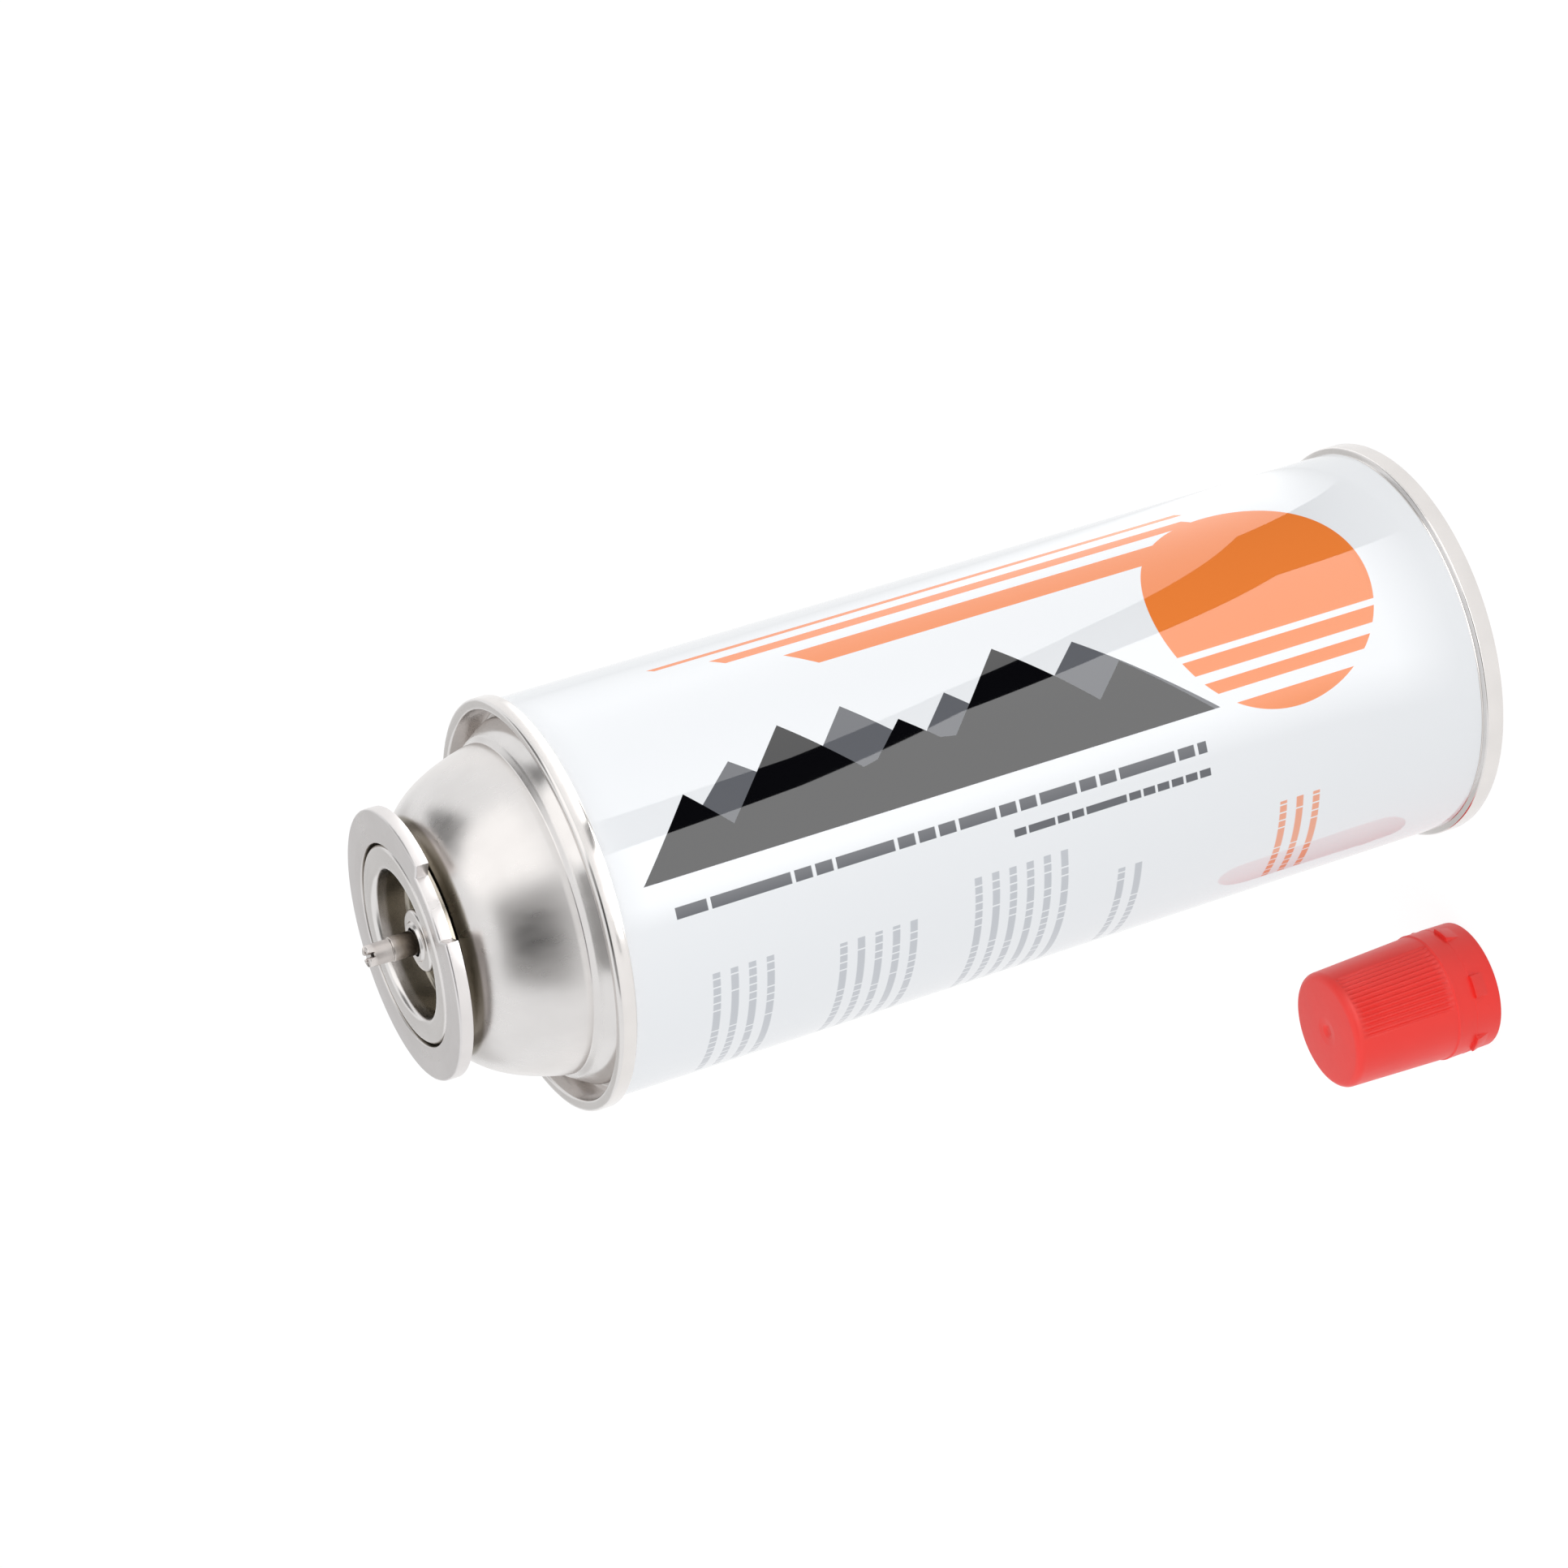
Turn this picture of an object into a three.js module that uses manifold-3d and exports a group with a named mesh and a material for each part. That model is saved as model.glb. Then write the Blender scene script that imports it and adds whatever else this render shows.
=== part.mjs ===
// A nozzle-type butane canister standing on its base seam, with its red cap taken off beside it.
// Lengths are in millimetres, +Z is up, and the origin is the middle of the footprint of
// canister and cap on the surface that they stand on.

import * as THREE from 'three';
import { mergeVertices } from 'three/addons/utils/BufferGeometryUtils.js';
import Module from 'manifold-3d';

const wasm = await Module();
wasm.setup();

// Driving dimensions: tank
const WALL_RADIUS = 33.0;
const SEAM_PROUD = 1.0;
const SEAM_THICKNESS = 1.8;
const SEAM_FLAT = 0.9;
const SEAM_ROUND = 0.6;
const CAN_HEIGHT = 160.8;
const TOP_SEAM_HEIGHT = 3.1;
const BASE_SEAM_HEIGHT = 3.6;
const BASE_SINK = 4.6;
const BASE_PANEL_RISE = 5.6;
const CHUCK_TAPER = 0.6;
const COUNTERSINK_DEPTH = 5.4;
const COUNTERSINK_WIDTH = 1.1;
const SHOULDER_WIDTH = 3.3;
const SHOULDER_RISE = 5.6;
const CREASE_RISE = 1.3;
const DOME_HEIGHT = 15.3;
const SEAT_RADIUS = 17.9;
const SEAT_RISE = 0.4;
const CURL_HEIGHT = 2.2;

// Driving dimensions: valve cup and its gasket
const CUP_RIM_RADIUS = 16.35;
const CUP_LIP = 2.4;
const CUP_MOUTH = 12.2;
const CUP_SHEET = 0.4;
const CUP_RIM_ROUND = 0.9;
const CUP_DEPTH = 6.2;
const CUP_FLOOR_ROUND = 0.7;
const CUP_GASKET_THICKNESS = 0.6;
const PEDESTAL_RADIUS = 5.1;
const PEDESTAL_HEIGHT = 3.9;
const PEDESTAL_ROUND = 0.6;
const PEDESTAL_DRAFT = 0.2;
const STEM_LIP_WIDTH = 0.6;
const STEM_LIP_HEIGHT = 0.5;

// Driving dimensions: notched collar
const COLLAR_RADIUS = 22.2;
const COLLAR_SKIRT = 2.3;
const COLLAR_SHEET = 0.6;
const COLLAR_ROUND = 0.5;
const NOTCH_WIDTH = 12.5;
const NOTCH_BACK = 19.5;
const NOTCH_DIRECTION = THREE.MathUtils.degToRad(-77.5);

// Driving dimensions: valve
const STEM_RADIUS = 2.05;
const STEM_TIP_RADIUS = 1.8;
const STEM_TIP_LENGTH = 4.0;
const STEM_REACH = 8.5;
const STEM_BORE = 0.9;
const STEM_CHAMFER = 0.25;
const STEM_SLOT_WIDTH = 0.6;
const STEM_SLOT_DEPTH = 1.1;
const STEM_ORIFICE = 0.35;
const STEM_FLANGE_RADIUS = 2.9;
const STEM_FLANGE_THICKNESS = 1.2;
const STEM_SPIGOT_RADIUS = 1.3;
const STEM_SPIGOT_LENGTH = 1.2;
const STEM_GASKET_THICKNESS = 1.3;
const SPRING_SPACE = 9.0;
const SPRING_WIRE = 0.5;
const SPRING_RADIUS = 2.3;
const SPRING_TURNS = 5;
const HOUSING_WALL = 1.0;
const HOUSING_FLOOR = 1.2;
const NIPPLE_RADIUS = 2.0;
const NIPPLE_LENGTH = 5.0;
const NIPPLE_BORE = 0.8;

// Driving dimensions: cap, which stands on its open rim
const CAP_HEIGHT = 28.0;
const CAP_RIM_RADIUS = 11.0;
const CAP_BAND_RADIUS = 11.15;
const CAP_BAND_HEIGHT = 8.4;
const CAP_BODY_RADIUS = 10.9;
const CAP_END_RADIUS = 10.2;
const CAP_END_ROUND = 1.3;
const CAP_WALL = 1.2;
const CAP_DIMPLE_RADIUS = 1.1;
const CAP_DIMPLE_DEPTH = 0.5;
const CAP_LUG_RADIUS = 11.7;
const CAP_LUG_WIDTH = 3.8;
const CAP_LUG_HEIGHT = 2.6;
const CAP_LUG_TOP = 4.9;
const CAP_LUGS = 6;
const FLUTE_PANELS = 2;
const FLUTES_PER_PANEL = 14;
const FLUTE_PITCH = THREE.MathUtils.degToRad(5.0);
const PANEL_DIRECTION = THREE.MathUtils.degToRad(-70);
const FLUTE_SIZE = 0.4;
const FLUTE_MARGIN = 1.2;
const CAP_SPACING = 15.4;
const CAP_Y = 12.0;

// Named clearances: faces that touch on the real canister, and the stem's running clearance
const SEATED = 0.3;
const STEM_CLEARANCE = 0.35;
const FLANGE_CLEARANCE = 0.5;

// Facets round a full turn
const CAN_SEGMENTS = 44;
const CUP_SEGMENTS = 36;
const SMALL_SEGMENTS = 20;
const CAP_SEGMENTS = 48;

// Levels worked out from the driving dimensions
const seamRadius = WALL_RADIUS + SEAM_PROUD;
const seamInner = seamRadius - SEAM_THICKNESS;
const chuckRadius = seamInner - CHUCK_TAPER;
const shoulderRadius = chuckRadius - COUNTERSINK_WIDTH;
const countersinkZ = CAN_HEIGHT - COUNTERSINK_DEPTH;
const shoulderZ = countersinkZ + COUNTERSINK_WIDTH / 2;
const creaseZ = shoulderZ + SHOULDER_RISE;
const creaseRadius = shoulderRadius - SHOULDER_WIDTH;
const domeFootZ = creaseZ + CREASE_RISE;
const domeTopZ = domeFootZ + DOME_HEIGHT;
const seatZ = domeTopZ + SEAT_RISE;
const curlTopZ = seatZ + CURL_HEIGHT;
const cupGasketZ = curlTopZ + SEATED;
const cupTopZ = cupGasketZ + CUP_GASKET_THICKNESS + SEATED + CUP_SHEET;
const cupFloorZ = cupTopZ - CUP_DEPTH;
const wellFloorZ = cupFloorZ - CUP_SHEET - SEATED;
const wellRadius = CUP_MOUTH + CUP_SHEET + SEATED;
const curlRadius = CUP_RIM_RADIUS - CUP_SHEET - SEATED;
const stemHole = STEM_RADIUS + STEM_CLEARANCE;
const pedestalTopZ = cupFloorZ + PEDESTAL_HEIGHT;
const stemGasketTopZ = pedestalTopZ - CUP_SHEET - SEATED;
const stemGasketZ = stemGasketTopZ - STEM_GASKET_THICKNESS;
const flangeTopZ = stemGasketZ - SEATED;
const flangeZ = flangeTopZ - STEM_FLANGE_THICKNESS;
const housingFloorZ = flangeZ - SPRING_SPACE;
const housingZ = housingFloorZ - HOUSING_FLOOR;
const nippleZ = housingZ - NIPPLE_LENGTH;
const housingBore = STEM_FLANGE_RADIUS + FLANGE_CLEARANCE;
const housingRadius = housingBore + HOUSING_WALL;
const stemTipZ = pedestalTopZ + STEM_REACH;
const canX = CAP_SPACING / 2 + CAP_BAND_RADIUS;
const capX = -(seamRadius + CAP_SPACING / 2);

const tinplate = new THREE.MeshStandardMaterial({ color: 0xd9d4d0, metalness: 1.0, roughness: 0.3 });
const printedWhite = new THREE.MeshStandardMaterial({ color: 0xf2f4f6, metalness: 0.0, roughness: 0.25 });
const redPlastic = new THREE.MeshStandardMaterial({ color: 0xec3a32, metalness: 0.0, roughness: 0.4 });
const rubber = new THREE.MeshStandardMaterial({ color: 0x1c1c1c, metalness: 0.0, roughness: 0.8 });
const whitePlastic = new THREE.MeshStandardMaterial({ color: 0xe6e2da, metalness: 0.0, roughness: 0.5 });
const springSteel = new THREE.MeshStandardMaterial({ color: 0xa8a8ab, metalness: 1.0, roughness: 0.3 });

// Geometry helpers

// The same surface with each shared vertex stored once and no collapsed triangle.
function weld(geometry) {
  const bare = new THREE.BufferGeometry();
  bare.setAttribute('position', geometry.getAttribute('position').clone());
  bare.setIndex(geometry.getIndex() ? Array.from(geometry.getIndex().array) : null);
  const merged = mergeVertices(bare, 1e-4);
  const source = merged.getIndex().array;
  const kept = [];
  for (let i = 0; i < source.length; i += 3) {
    const [a, b, c] = [source[i], source[i + 1], source[i + 2]];
    if (a !== b && b !== c && c !== a) {
      kept.push(a, b, c);
    }
  }
  merged.setIndex(kept);
  return merged;
}

function toManifold(geometry) {
  const welded = weld(geometry);
  return new wasm.Manifold(new wasm.Mesh({
    numProp: 3,
    vertProperties: new Float32Array(welded.getAttribute('position').array),
    triVerts: new Uint32Array(welded.getIndex().array),
  }));
}

function fromManifold(solid) {
  const mesh = solid.getMesh();
  const geometry = new THREE.BufferGeometry();
  geometry.setAttribute('position', new THREE.BufferAttribute(new Float32Array(mesh.vertProperties), 3));
  geometry.setIndex(Array.from(mesh.triVerts));
  return geometry;
}

// A solid of revolution about Z. The profile of [radius, height] points runs outwards at the
// bottom, up the outside and back in at the top; it ends on the axis or closes on itself.
function turned(profile, segments) {
  const points = profile.map(([radius, height]) => new THREE.Vector2(radius, height));
  if (profile[0][0] > 0) {
    points.push(points[0].clone());
  }
  const geometry = new THREE.LatheGeometry(points, segments);
  geometry.rotateX(Math.PI / 2);
  return weld(geometry);
}

// Points on an arc about [radius, height], with the angles in degrees.
function arc(centreRadius, centreZ, radius, from, to, steps) {
  const points = [];
  for (let i = 0; i <= steps; i += 1) {
    const angle = THREE.MathUtils.degToRad(from + ((to - from) * i) / steps);
    points.push([centreRadius + radius * Math.cos(angle), centreZ + radius * Math.sin(angle)]);
  }
  return points;
}

function cylinder(radius, lowZ, highZ, segments) {
  return turned([[0, lowZ], [radius, lowZ], [radius, highZ], [0, highZ]], segments);
}

function addMesh(group, name, geometry, material) {
  const mesh = new THREE.Mesh(geometry, material);
  mesh.name = name;
  mesh.geometry.computeVertexNormals();
  group.add(mesh);
}

// Tank: a filled solid with a rolled seam at each end, a sunk base, a domed shoulder and the
// well that the valve hangs in

function baseProfile() {
  const panelRadius = seamInner - CHUCK_TAPER * 2;
  const points = [];
  const steps = 5;
  for (let i = 0; i <= steps; i += 1) {
    const share = i / steps;
    points.push([panelRadius * share, BASE_SINK + BASE_PANEL_RISE * (1 - share * share)]);
  }
  const flatInner = seamInner + (SEAM_THICKNESS - SEAM_FLAT) / 2;
  points.push([seamInner, SEAM_ROUND]);
  points.push([flatInner, 0]);
  points.push([flatInner + SEAM_FLAT, 0]);
  points.push([seamRadius, SEAM_ROUND]);
  points.push([seamRadius, BASE_SEAM_HEIGHT - SEAM_ROUND]);
  points.push([WALL_RADIUS, BASE_SEAM_HEIGHT]);
  return points;
}

function topSeamProfile() {
  const flatInner = seamInner + (SEAM_THICKNESS - SEAM_FLAT) / 2;
  return [
    [WALL_RADIUS, CAN_HEIGHT - TOP_SEAM_HEIGHT],
    [seamRadius, CAN_HEIGHT - TOP_SEAM_HEIGHT + SEAM_ROUND],
    [seamRadius, CAN_HEIGHT - SEAM_ROUND],
    [flatInner + SEAM_FLAT, CAN_HEIGHT],
    [flatInner, CAN_HEIGHT],
    [seamInner, CAN_HEIGHT - SEAM_ROUND],
    [chuckRadius, shoulderZ],
  ];
}

function countersinkProfile() {
  const half = COUNTERSINK_WIDTH / 2;
  return arc(chuckRadius - half, shoulderZ, half, 0, -180, 4).slice(1);
}

function shoulderProfile() {
  const points = [];
  const steps = 4;
  for (let i = 1; i <= steps; i += 1) {
    const angle = (Math.PI / 2) * (i / steps);
    points.push([
      creaseRadius + SHOULDER_WIDTH * Math.cos(angle),
      shoulderZ + SHOULDER_RISE * Math.sin(angle),
    ]);
  }
  return points;
}

// The dome is part of a sphere through its foot at the crease and its top at the collar's seat.
function domeProfile() {
  const numerator = SEAT_RADIUS ** 2 + domeTopZ ** 2 - creaseRadius ** 2 - domeFootZ ** 2;
  const centreZ = numerator / (2 * DOME_HEIGHT);
  const radius = Math.hypot(creaseRadius, domeFootZ - centreZ);
  const from = THREE.MathUtils.radToDeg(Math.atan2(domeFootZ - centreZ, creaseRadius));
  const to = THREE.MathUtils.radToDeg(Math.atan2(domeTopZ - centreZ, SEAT_RADIUS));
  return arc(0, centreZ, radius, from, to, 8);
}

function wellProfile() {
  const curlRound = CURL_HEIGHT / 4;
  const pocketRadius = housingRadius + SEATED;
  const nipplePocket = NIPPLE_RADIUS + SEATED;
  return [
    [SEAT_RADIUS - SEAT_RISE, seatZ],
    [curlRadius, seatZ],
    [curlRadius, curlTopZ - curlRound],
    [curlRadius - curlRound, curlTopZ],
    [wellRadius + curlRound, curlTopZ],
    [wellRadius, curlTopZ - curlRound],
    [wellRadius, wellFloorZ],
    [pocketRadius, wellFloorZ],
    [pocketRadius, housingZ - SEATED],
    [nipplePocket, housingZ - SEATED],
    [nipplePocket, nippleZ - SEATED],
    [0, nippleZ - SEATED],
  ];
}

function tank() {
  const profile = [
    ...baseProfile(),
    ...topSeamProfile(),
    ...countersinkProfile(),
    ...shoulderProfile(),
    ...domeProfile(),
    ...wellProfile(),
  ];
  return turned(profile, CAN_SEGMENTS);
}

// Valve cup: one sheet rolled over the dome's curl, down into the well and up to a pedestal
function valveCup() {
  const lipZ = cupTopZ - CUP_LIP;
  const round = CUP_RIM_ROUND;
  const corner = CUP_FLOOR_ROUND;
  const footRadius = PEDESTAL_RADIUS + PEDESTAL_DRAFT;
  const lipOuter = stemHole + STEM_LIP_WIDTH;
  const topFace = [
    ...arc(CUP_RIM_RADIUS - round, cupTopZ - round, round, 0, 90, 3),
    ...arc(CUP_MOUTH + round, cupTopZ - round, round, 90, 180, 3),
    ...arc(CUP_MOUTH - corner, cupFloorZ + corner, corner, 0, -90, 2),
    ...arc(footRadius + corner, cupFloorZ + corner, corner, -90, -180, 2),
    ...arc(PEDESTAL_RADIUS - PEDESTAL_ROUND, pedestalTopZ - PEDESTAL_ROUND, PEDESTAL_ROUND, 0, 90, 2),
    [lipOuter, pedestalTopZ],
    [lipOuter - STEM_LIP_HEIGHT / 2, pedestalTopZ + STEM_LIP_HEIGHT],
    [stemHole, pedestalTopZ + STEM_LIP_HEIGHT],
  ];
  const underFace = [
    [stemHole, pedestalTopZ - CUP_SHEET],
    [PEDESTAL_RADIUS - PEDESTAL_ROUND, pedestalTopZ - CUP_SHEET],
    [PEDESTAL_RADIUS - CUP_SHEET, pedestalTopZ - PEDESTAL_ROUND],
    [footRadius - CUP_SHEET, cupFloorZ + corner],
    [footRadius, cupFloorZ - CUP_SHEET],
    [CUP_MOUTH, cupFloorZ - CUP_SHEET],
    [CUP_MOUTH + CUP_SHEET, cupFloorZ],
    [CUP_MOUTH + CUP_SHEET, cupTopZ - round],
    [CUP_MOUTH + round, cupTopZ - CUP_SHEET],
    [CUP_RIM_RADIUS - round, cupTopZ - CUP_SHEET],
    [CUP_RIM_RADIUS - CUP_SHEET, cupTopZ - round],
    [CUP_RIM_RADIUS - CUP_SHEET, lipZ],
    [CUP_RIM_RADIUS, lipZ],
  ];
  return turned([...topFace, ...underFace], CUP_SEGMENTS);
}

function cupGasket() {
  const inner = wellRadius + CURL_HEIGHT / 4;
  const outer = curlRadius - CURL_HEIGHT / 4;
  const top = cupGasketZ + CUP_GASKET_THICKNESS;
  return turned([[inner, cupGasketZ], [outer, cupGasketZ], [outer, top], [inner, top]], CUP_SEGMENTS);
}

// Collar: a flat ring with a folded skirt that follows its notch, standing on the dome's seat

// The collar's outline, moved inwards by an inset.
function collarOutline(inset) {
  const radius = COLLAR_RADIUS - inset;
  const half = NOTCH_WIDTH / 2 + inset;
  const back = NOTCH_BACK - inset;
  const outerAngle = Math.asin(half / radius);
  const innerAngle = Math.asin(half / back);
  const arcSteps = 56;
  const backSteps = 6;
  const shape = new THREE.Shape();
  for (let i = 0; i <= arcSteps; i += 1) {
    const angle = outerAngle + (2 * Math.PI - 2 * outerAngle) * (i / arcSteps);
    const turn = NOTCH_DIRECTION + angle;
    const place = [radius * Math.cos(turn), radius * Math.sin(turn)];
    if (i === 0) {
      shape.moveTo(...place);
    } else {
      shape.lineTo(...place);
    }
  }
  for (let i = 0; i <= backSteps; i += 1) {
    const turn = NOTCH_DIRECTION - innerAngle + 2 * innerAngle * (i / backSteps);
    shape.lineTo(back * Math.cos(turn), back * Math.sin(turn));
  }
  shape.closePath();
  return shape;
}

function valveCollar() {
  const innerRadius = CUP_RIM_RADIUS + SEATED;
  const tubeRadius = innerRadius + COLLAR_SHEET;
  const skirtZ = cupTopZ - COLLAR_SKIRT;
  const footZ = seatZ + SEATED;
  const blank = new THREE.ExtrudeGeometry(collarOutline(0), {
    depth: COLLAR_SKIRT,
    bevelEnabled: true,
    bevelThickness: COLLAR_ROUND,
    bevelSize: COLLAR_ROUND,
    bevelOffset: -COLLAR_ROUND,
    bevelSegments: 2,
  });
  blank.translate(0, 0, cupTopZ - COLLAR_ROUND - COLLAR_SKIRT);
  const hollow = new THREE.ExtrudeGeometry(collarOutline(COLLAR_SHEET), {
    depth: COLLAR_SKIRT * 2,
    bevelEnabled: false,
  });
  hollow.translate(0, 0, cupTopZ - COLLAR_SHEET - COLLAR_SKIRT * 2);
  const below = cylinder(COLLAR_RADIUS * 2, skirtZ - COLLAR_SKIRT * 2, skirtZ, 8);
  const tube = cylinder(tubeRadius, footZ, cupTopZ - COLLAR_SHEET / 2, CUP_SEGMENTS);
  const bore = cylinder(innerRadius, footZ - COLLAR_SHEET, cupTopZ + COLLAR_SHEET, CUP_SEGMENTS);
  const sheet = toManifold(blank).subtract(toManifold(hollow)).subtract(toManifold(below));
  return fromManifold(sheet.add(toManifold(tube)).subtract(toManifold(bore)));
}

// Valve: gasket under the pedestal, housing, spring and the hollow stem that is pressed down

function stemGasket() {
  const outer = housingRadius - SEATED / 2;
  return turned([
    [stemHole, stemGasketZ],
    [outer, stemGasketZ],
    [outer, stemGasketTopZ],
    [stemHole, stemGasketTopZ],
  ], SMALL_SEGMENTS);
}

function valveHousing() {
  return turned([
    [NIPPLE_BORE, nippleZ],
    [NIPPLE_RADIUS, nippleZ],
    [NIPPLE_RADIUS, housingZ],
    [housingRadius, housingZ],
    [housingRadius, flangeTopZ],
    [housingBore, flangeTopZ],
    [housingBore, housingFloorZ],
    [NIPPLE_BORE, housingFloorZ],
  ], SMALL_SEGMENTS);
}

class Helix extends THREE.Curve {
  constructor(radius, lowZ, highZ, turns) {
    super();
    this.radius = radius;
    this.lowZ = lowZ;
    this.highZ = highZ;
    this.turns = turns;
  }

  getPoint(share) {
    const angle = share * this.turns * 2 * Math.PI;
    const height = this.lowZ + (this.highZ - this.lowZ) * share;
    return new THREE.Vector3(this.radius * Math.cos(angle), this.radius * Math.sin(angle), height);
  }
}

function valveSpring() {
  const inset = SPRING_WIRE / 2 + SEATED;
  const path = new Helix(SPRING_RADIUS, housingFloorZ + inset, flangeZ - inset, SPRING_TURNS);
  const wire = new THREE.Shape();
  const sides = 6;
  for (let i = 0; i < sides; i += 1) {
    const angle = (2 * Math.PI * i) / sides;
    const place = [(SPRING_WIRE / 2) * Math.cos(angle), (SPRING_WIRE / 2) * Math.sin(angle)];
    if (i === 0) {
      wire.moveTo(...place);
    } else {
      wire.lineTo(...place);
    }
  }
  wire.closePath();
  return weld(new THREE.ExtrudeGeometry(wire, { steps: SPRING_TURNS * 12, extrudePath: path }));
}

function valveStem() {
  const shoulderTopZ = stemTipZ - STEM_TIP_LENGTH;
  const orificeZ = stemGasketZ + STEM_GASKET_THICKNESS / 2;
  const body = toManifold(turned([
    [0, flangeZ - STEM_SPIGOT_LENGTH],
    [STEM_SPIGOT_RADIUS, flangeZ - STEM_SPIGOT_LENGTH],
    [STEM_SPIGOT_RADIUS, flangeZ],
    [STEM_FLANGE_RADIUS, flangeZ],
    [STEM_FLANGE_RADIUS, flangeTopZ],
    [STEM_RADIUS, flangeTopZ],
    [STEM_RADIUS, shoulderTopZ - STEM_CHAMFER],
    [STEM_RADIUS - STEM_CHAMFER, shoulderTopZ],
    [STEM_TIP_RADIUS, shoulderTopZ],
    [STEM_TIP_RADIUS, stemTipZ - STEM_CHAMFER],
    [STEM_TIP_RADIUS - STEM_CHAMFER, stemTipZ],
    [STEM_BORE, stemTipZ],
    [STEM_BORE, orificeZ - STEM_ORIFICE],
    [0, orificeZ - STEM_ORIFICE],
  ], SMALL_SEGMENTS));
  const slotLength = STEM_TIP_RADIUS * 4;
  const slotAcross = new THREE.BoxGeometry(slotLength, STEM_SLOT_WIDTH, STEM_SLOT_DEPTH * 2);
  slotAcross.translate(0, 0, stemTipZ);
  const slotAlong = new THREE.BoxGeometry(STEM_SLOT_WIDTH, slotLength, STEM_SLOT_DEPTH * 2);
  slotAlong.translate(0, 0, stemTipZ);
  const orifice = new THREE.CylinderGeometry(STEM_ORIFICE, STEM_ORIFICE, STEM_RADIUS * 3, 8);
  orifice.rotateZ(Math.PI / 2);
  orifice.translate(0, 0, orificeZ);
  const cut = body.subtract(toManifold(slotAcross)).subtract(toManifold(slotAlong));
  return fromManifold(cut.subtract(toManifold(orifice)));
}

// Cap: a hollow moulding with fluted panels, a plain band at its rim and wedge lugs on the band

function capShell() {
  const topInner = CAP_HEIGHT - CAP_WALL;
  const dimpleZ = CAP_HEIGHT - CAP_DIMPLE_DEPTH;
  return turned([
    [CAP_RIM_RADIUS - CAP_WALL, 0],
    [CAP_RIM_RADIUS, 0],
    [CAP_BAND_RADIUS, CAP_BAND_HEIGHT],
    [CAP_BODY_RADIUS, CAP_BAND_HEIGHT],
    ...arc(CAP_END_RADIUS - CAP_END_ROUND, CAP_HEIGHT - CAP_END_ROUND, CAP_END_ROUND, 0, 90, 3),
    [CAP_DIMPLE_RADIUS, CAP_HEIGHT],
    [CAP_DIMPLE_RADIUS / 2, dimpleZ],
    [0, dimpleZ],
    [0, topInner],
    [CAP_END_RADIUS - CAP_WALL, topInner],
    [CAP_BODY_RADIUS - CAP_WALL, CAP_BAND_HEIGHT],
  ], CAP_SEGMENTS);
}

// One lug at +X: a wedge that rises from the band and ends in a step facing the closed end.
function capLug() {
  const rootRadius = CAP_RIM_RADIUS - CAP_WALL / 2;
  const topZ = CAP_LUG_TOP;
  const wedge = new THREE.Shape();
  wedge.moveTo(rootRadius, topZ - CAP_LUG_HEIGHT);
  wedge.lineTo(CAP_RIM_RADIUS, topZ - CAP_LUG_HEIGHT);
  wedge.lineTo(CAP_LUG_RADIUS, topZ - CAP_LUG_HEIGHT / 8);
  wedge.lineTo(CAP_LUG_RADIUS, topZ);
  wedge.lineTo(rootRadius, topZ);
  wedge.closePath();
  const geometry = new THREE.ExtrudeGeometry(wedge, { depth: CAP_LUG_WIDTH, bevelEnabled: false });
  geometry.translate(0, 0, -CAP_LUG_WIDTH / 2);
  geometry.rotateX(Math.PI / 2);
  return geometry;
}

// One flute at +X: a square bar on edge, laid along the tapering side.
function capFlute() {
  const lowZ = CAP_BAND_HEIGHT + FLUTE_MARGIN;
  const highZ = CAP_HEIGHT - CAP_END_ROUND - FLUTE_MARGIN;
  const taper = Math.atan2(CAP_BODY_RADIUS - CAP_END_RADIUS, CAP_HEIGHT - CAP_END_ROUND - CAP_BAND_HEIGHT);
  const middleZ = (lowZ + highZ) / 2;
  const middleRadius = CAP_BODY_RADIUS - (middleZ - CAP_BAND_HEIGHT) * Math.tan(taper);
  const bar = new THREE.BoxGeometry(FLUTE_SIZE, FLUTE_SIZE, highZ - lowZ);
  bar.rotateZ(Math.PI / 4);
  bar.rotateY(-taper);
  bar.translate(middleRadius, 0, middleZ);
  return bar;
}

function cap() {
  let solid = toManifold(capShell());
  for (let i = 0; i < CAP_LUGS; i += 1) {
    const lug = capLug();
    lug.rotateZ((2 * Math.PI * (i + 0.5)) / CAP_LUGS);
    solid = solid.add(toManifold(lug));
  }
  for (let panel = 0; panel < FLUTE_PANELS; panel += 1) {
    const panelTurn = PANEL_DIRECTION + (2 * Math.PI * panel) / FLUTE_PANELS;
    for (let i = 0; i < FLUTES_PER_PANEL; i += 1) {
      const flute = capFlute();
      flute.rotateZ(panelTurn + (i - (FLUTES_PER_PANEL - 1) / 2) * FLUTE_PITCH);
      solid = solid.subtract(toManifold(flute));
    }
  }
  return fromManifold(solid);
}

const canister = new THREE.Group();
canister.position.set(canX, 0, 0);
addMesh(canister, 'can', tank(), printedWhite);
addMesh(canister, 'cup_gasket', cupGasket(), rubber);
addMesh(canister, 'valve_cup', valveCup(), tinplate);
addMesh(canister, 'valve_collar', valveCollar(), tinplate);
addMesh(canister, 'stem_gasket', stemGasket(), rubber);
addMesh(canister, 'valve_housing', valveHousing(), whitePlastic);
addMesh(canister, 'valve_spring', valveSpring(), springSteel);
addMesh(canister, 'valve_stem', valveStem(), tinplate);

const loose = new THREE.Group();
loose.position.set(capX, CAP_Y, 0);
addMesh(loose, 'cap', cap(), redPlastic);

const part = new THREE.Group();
part.add(canister);
part.add(loose);

export default part;
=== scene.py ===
"""Looks of a nozzle-type gas canister that stands on its base seam, with its red cap beside it.

Lengths are in metres, +Z is up, and the canister's axis and every height come from the frame.
"""

import math

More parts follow.
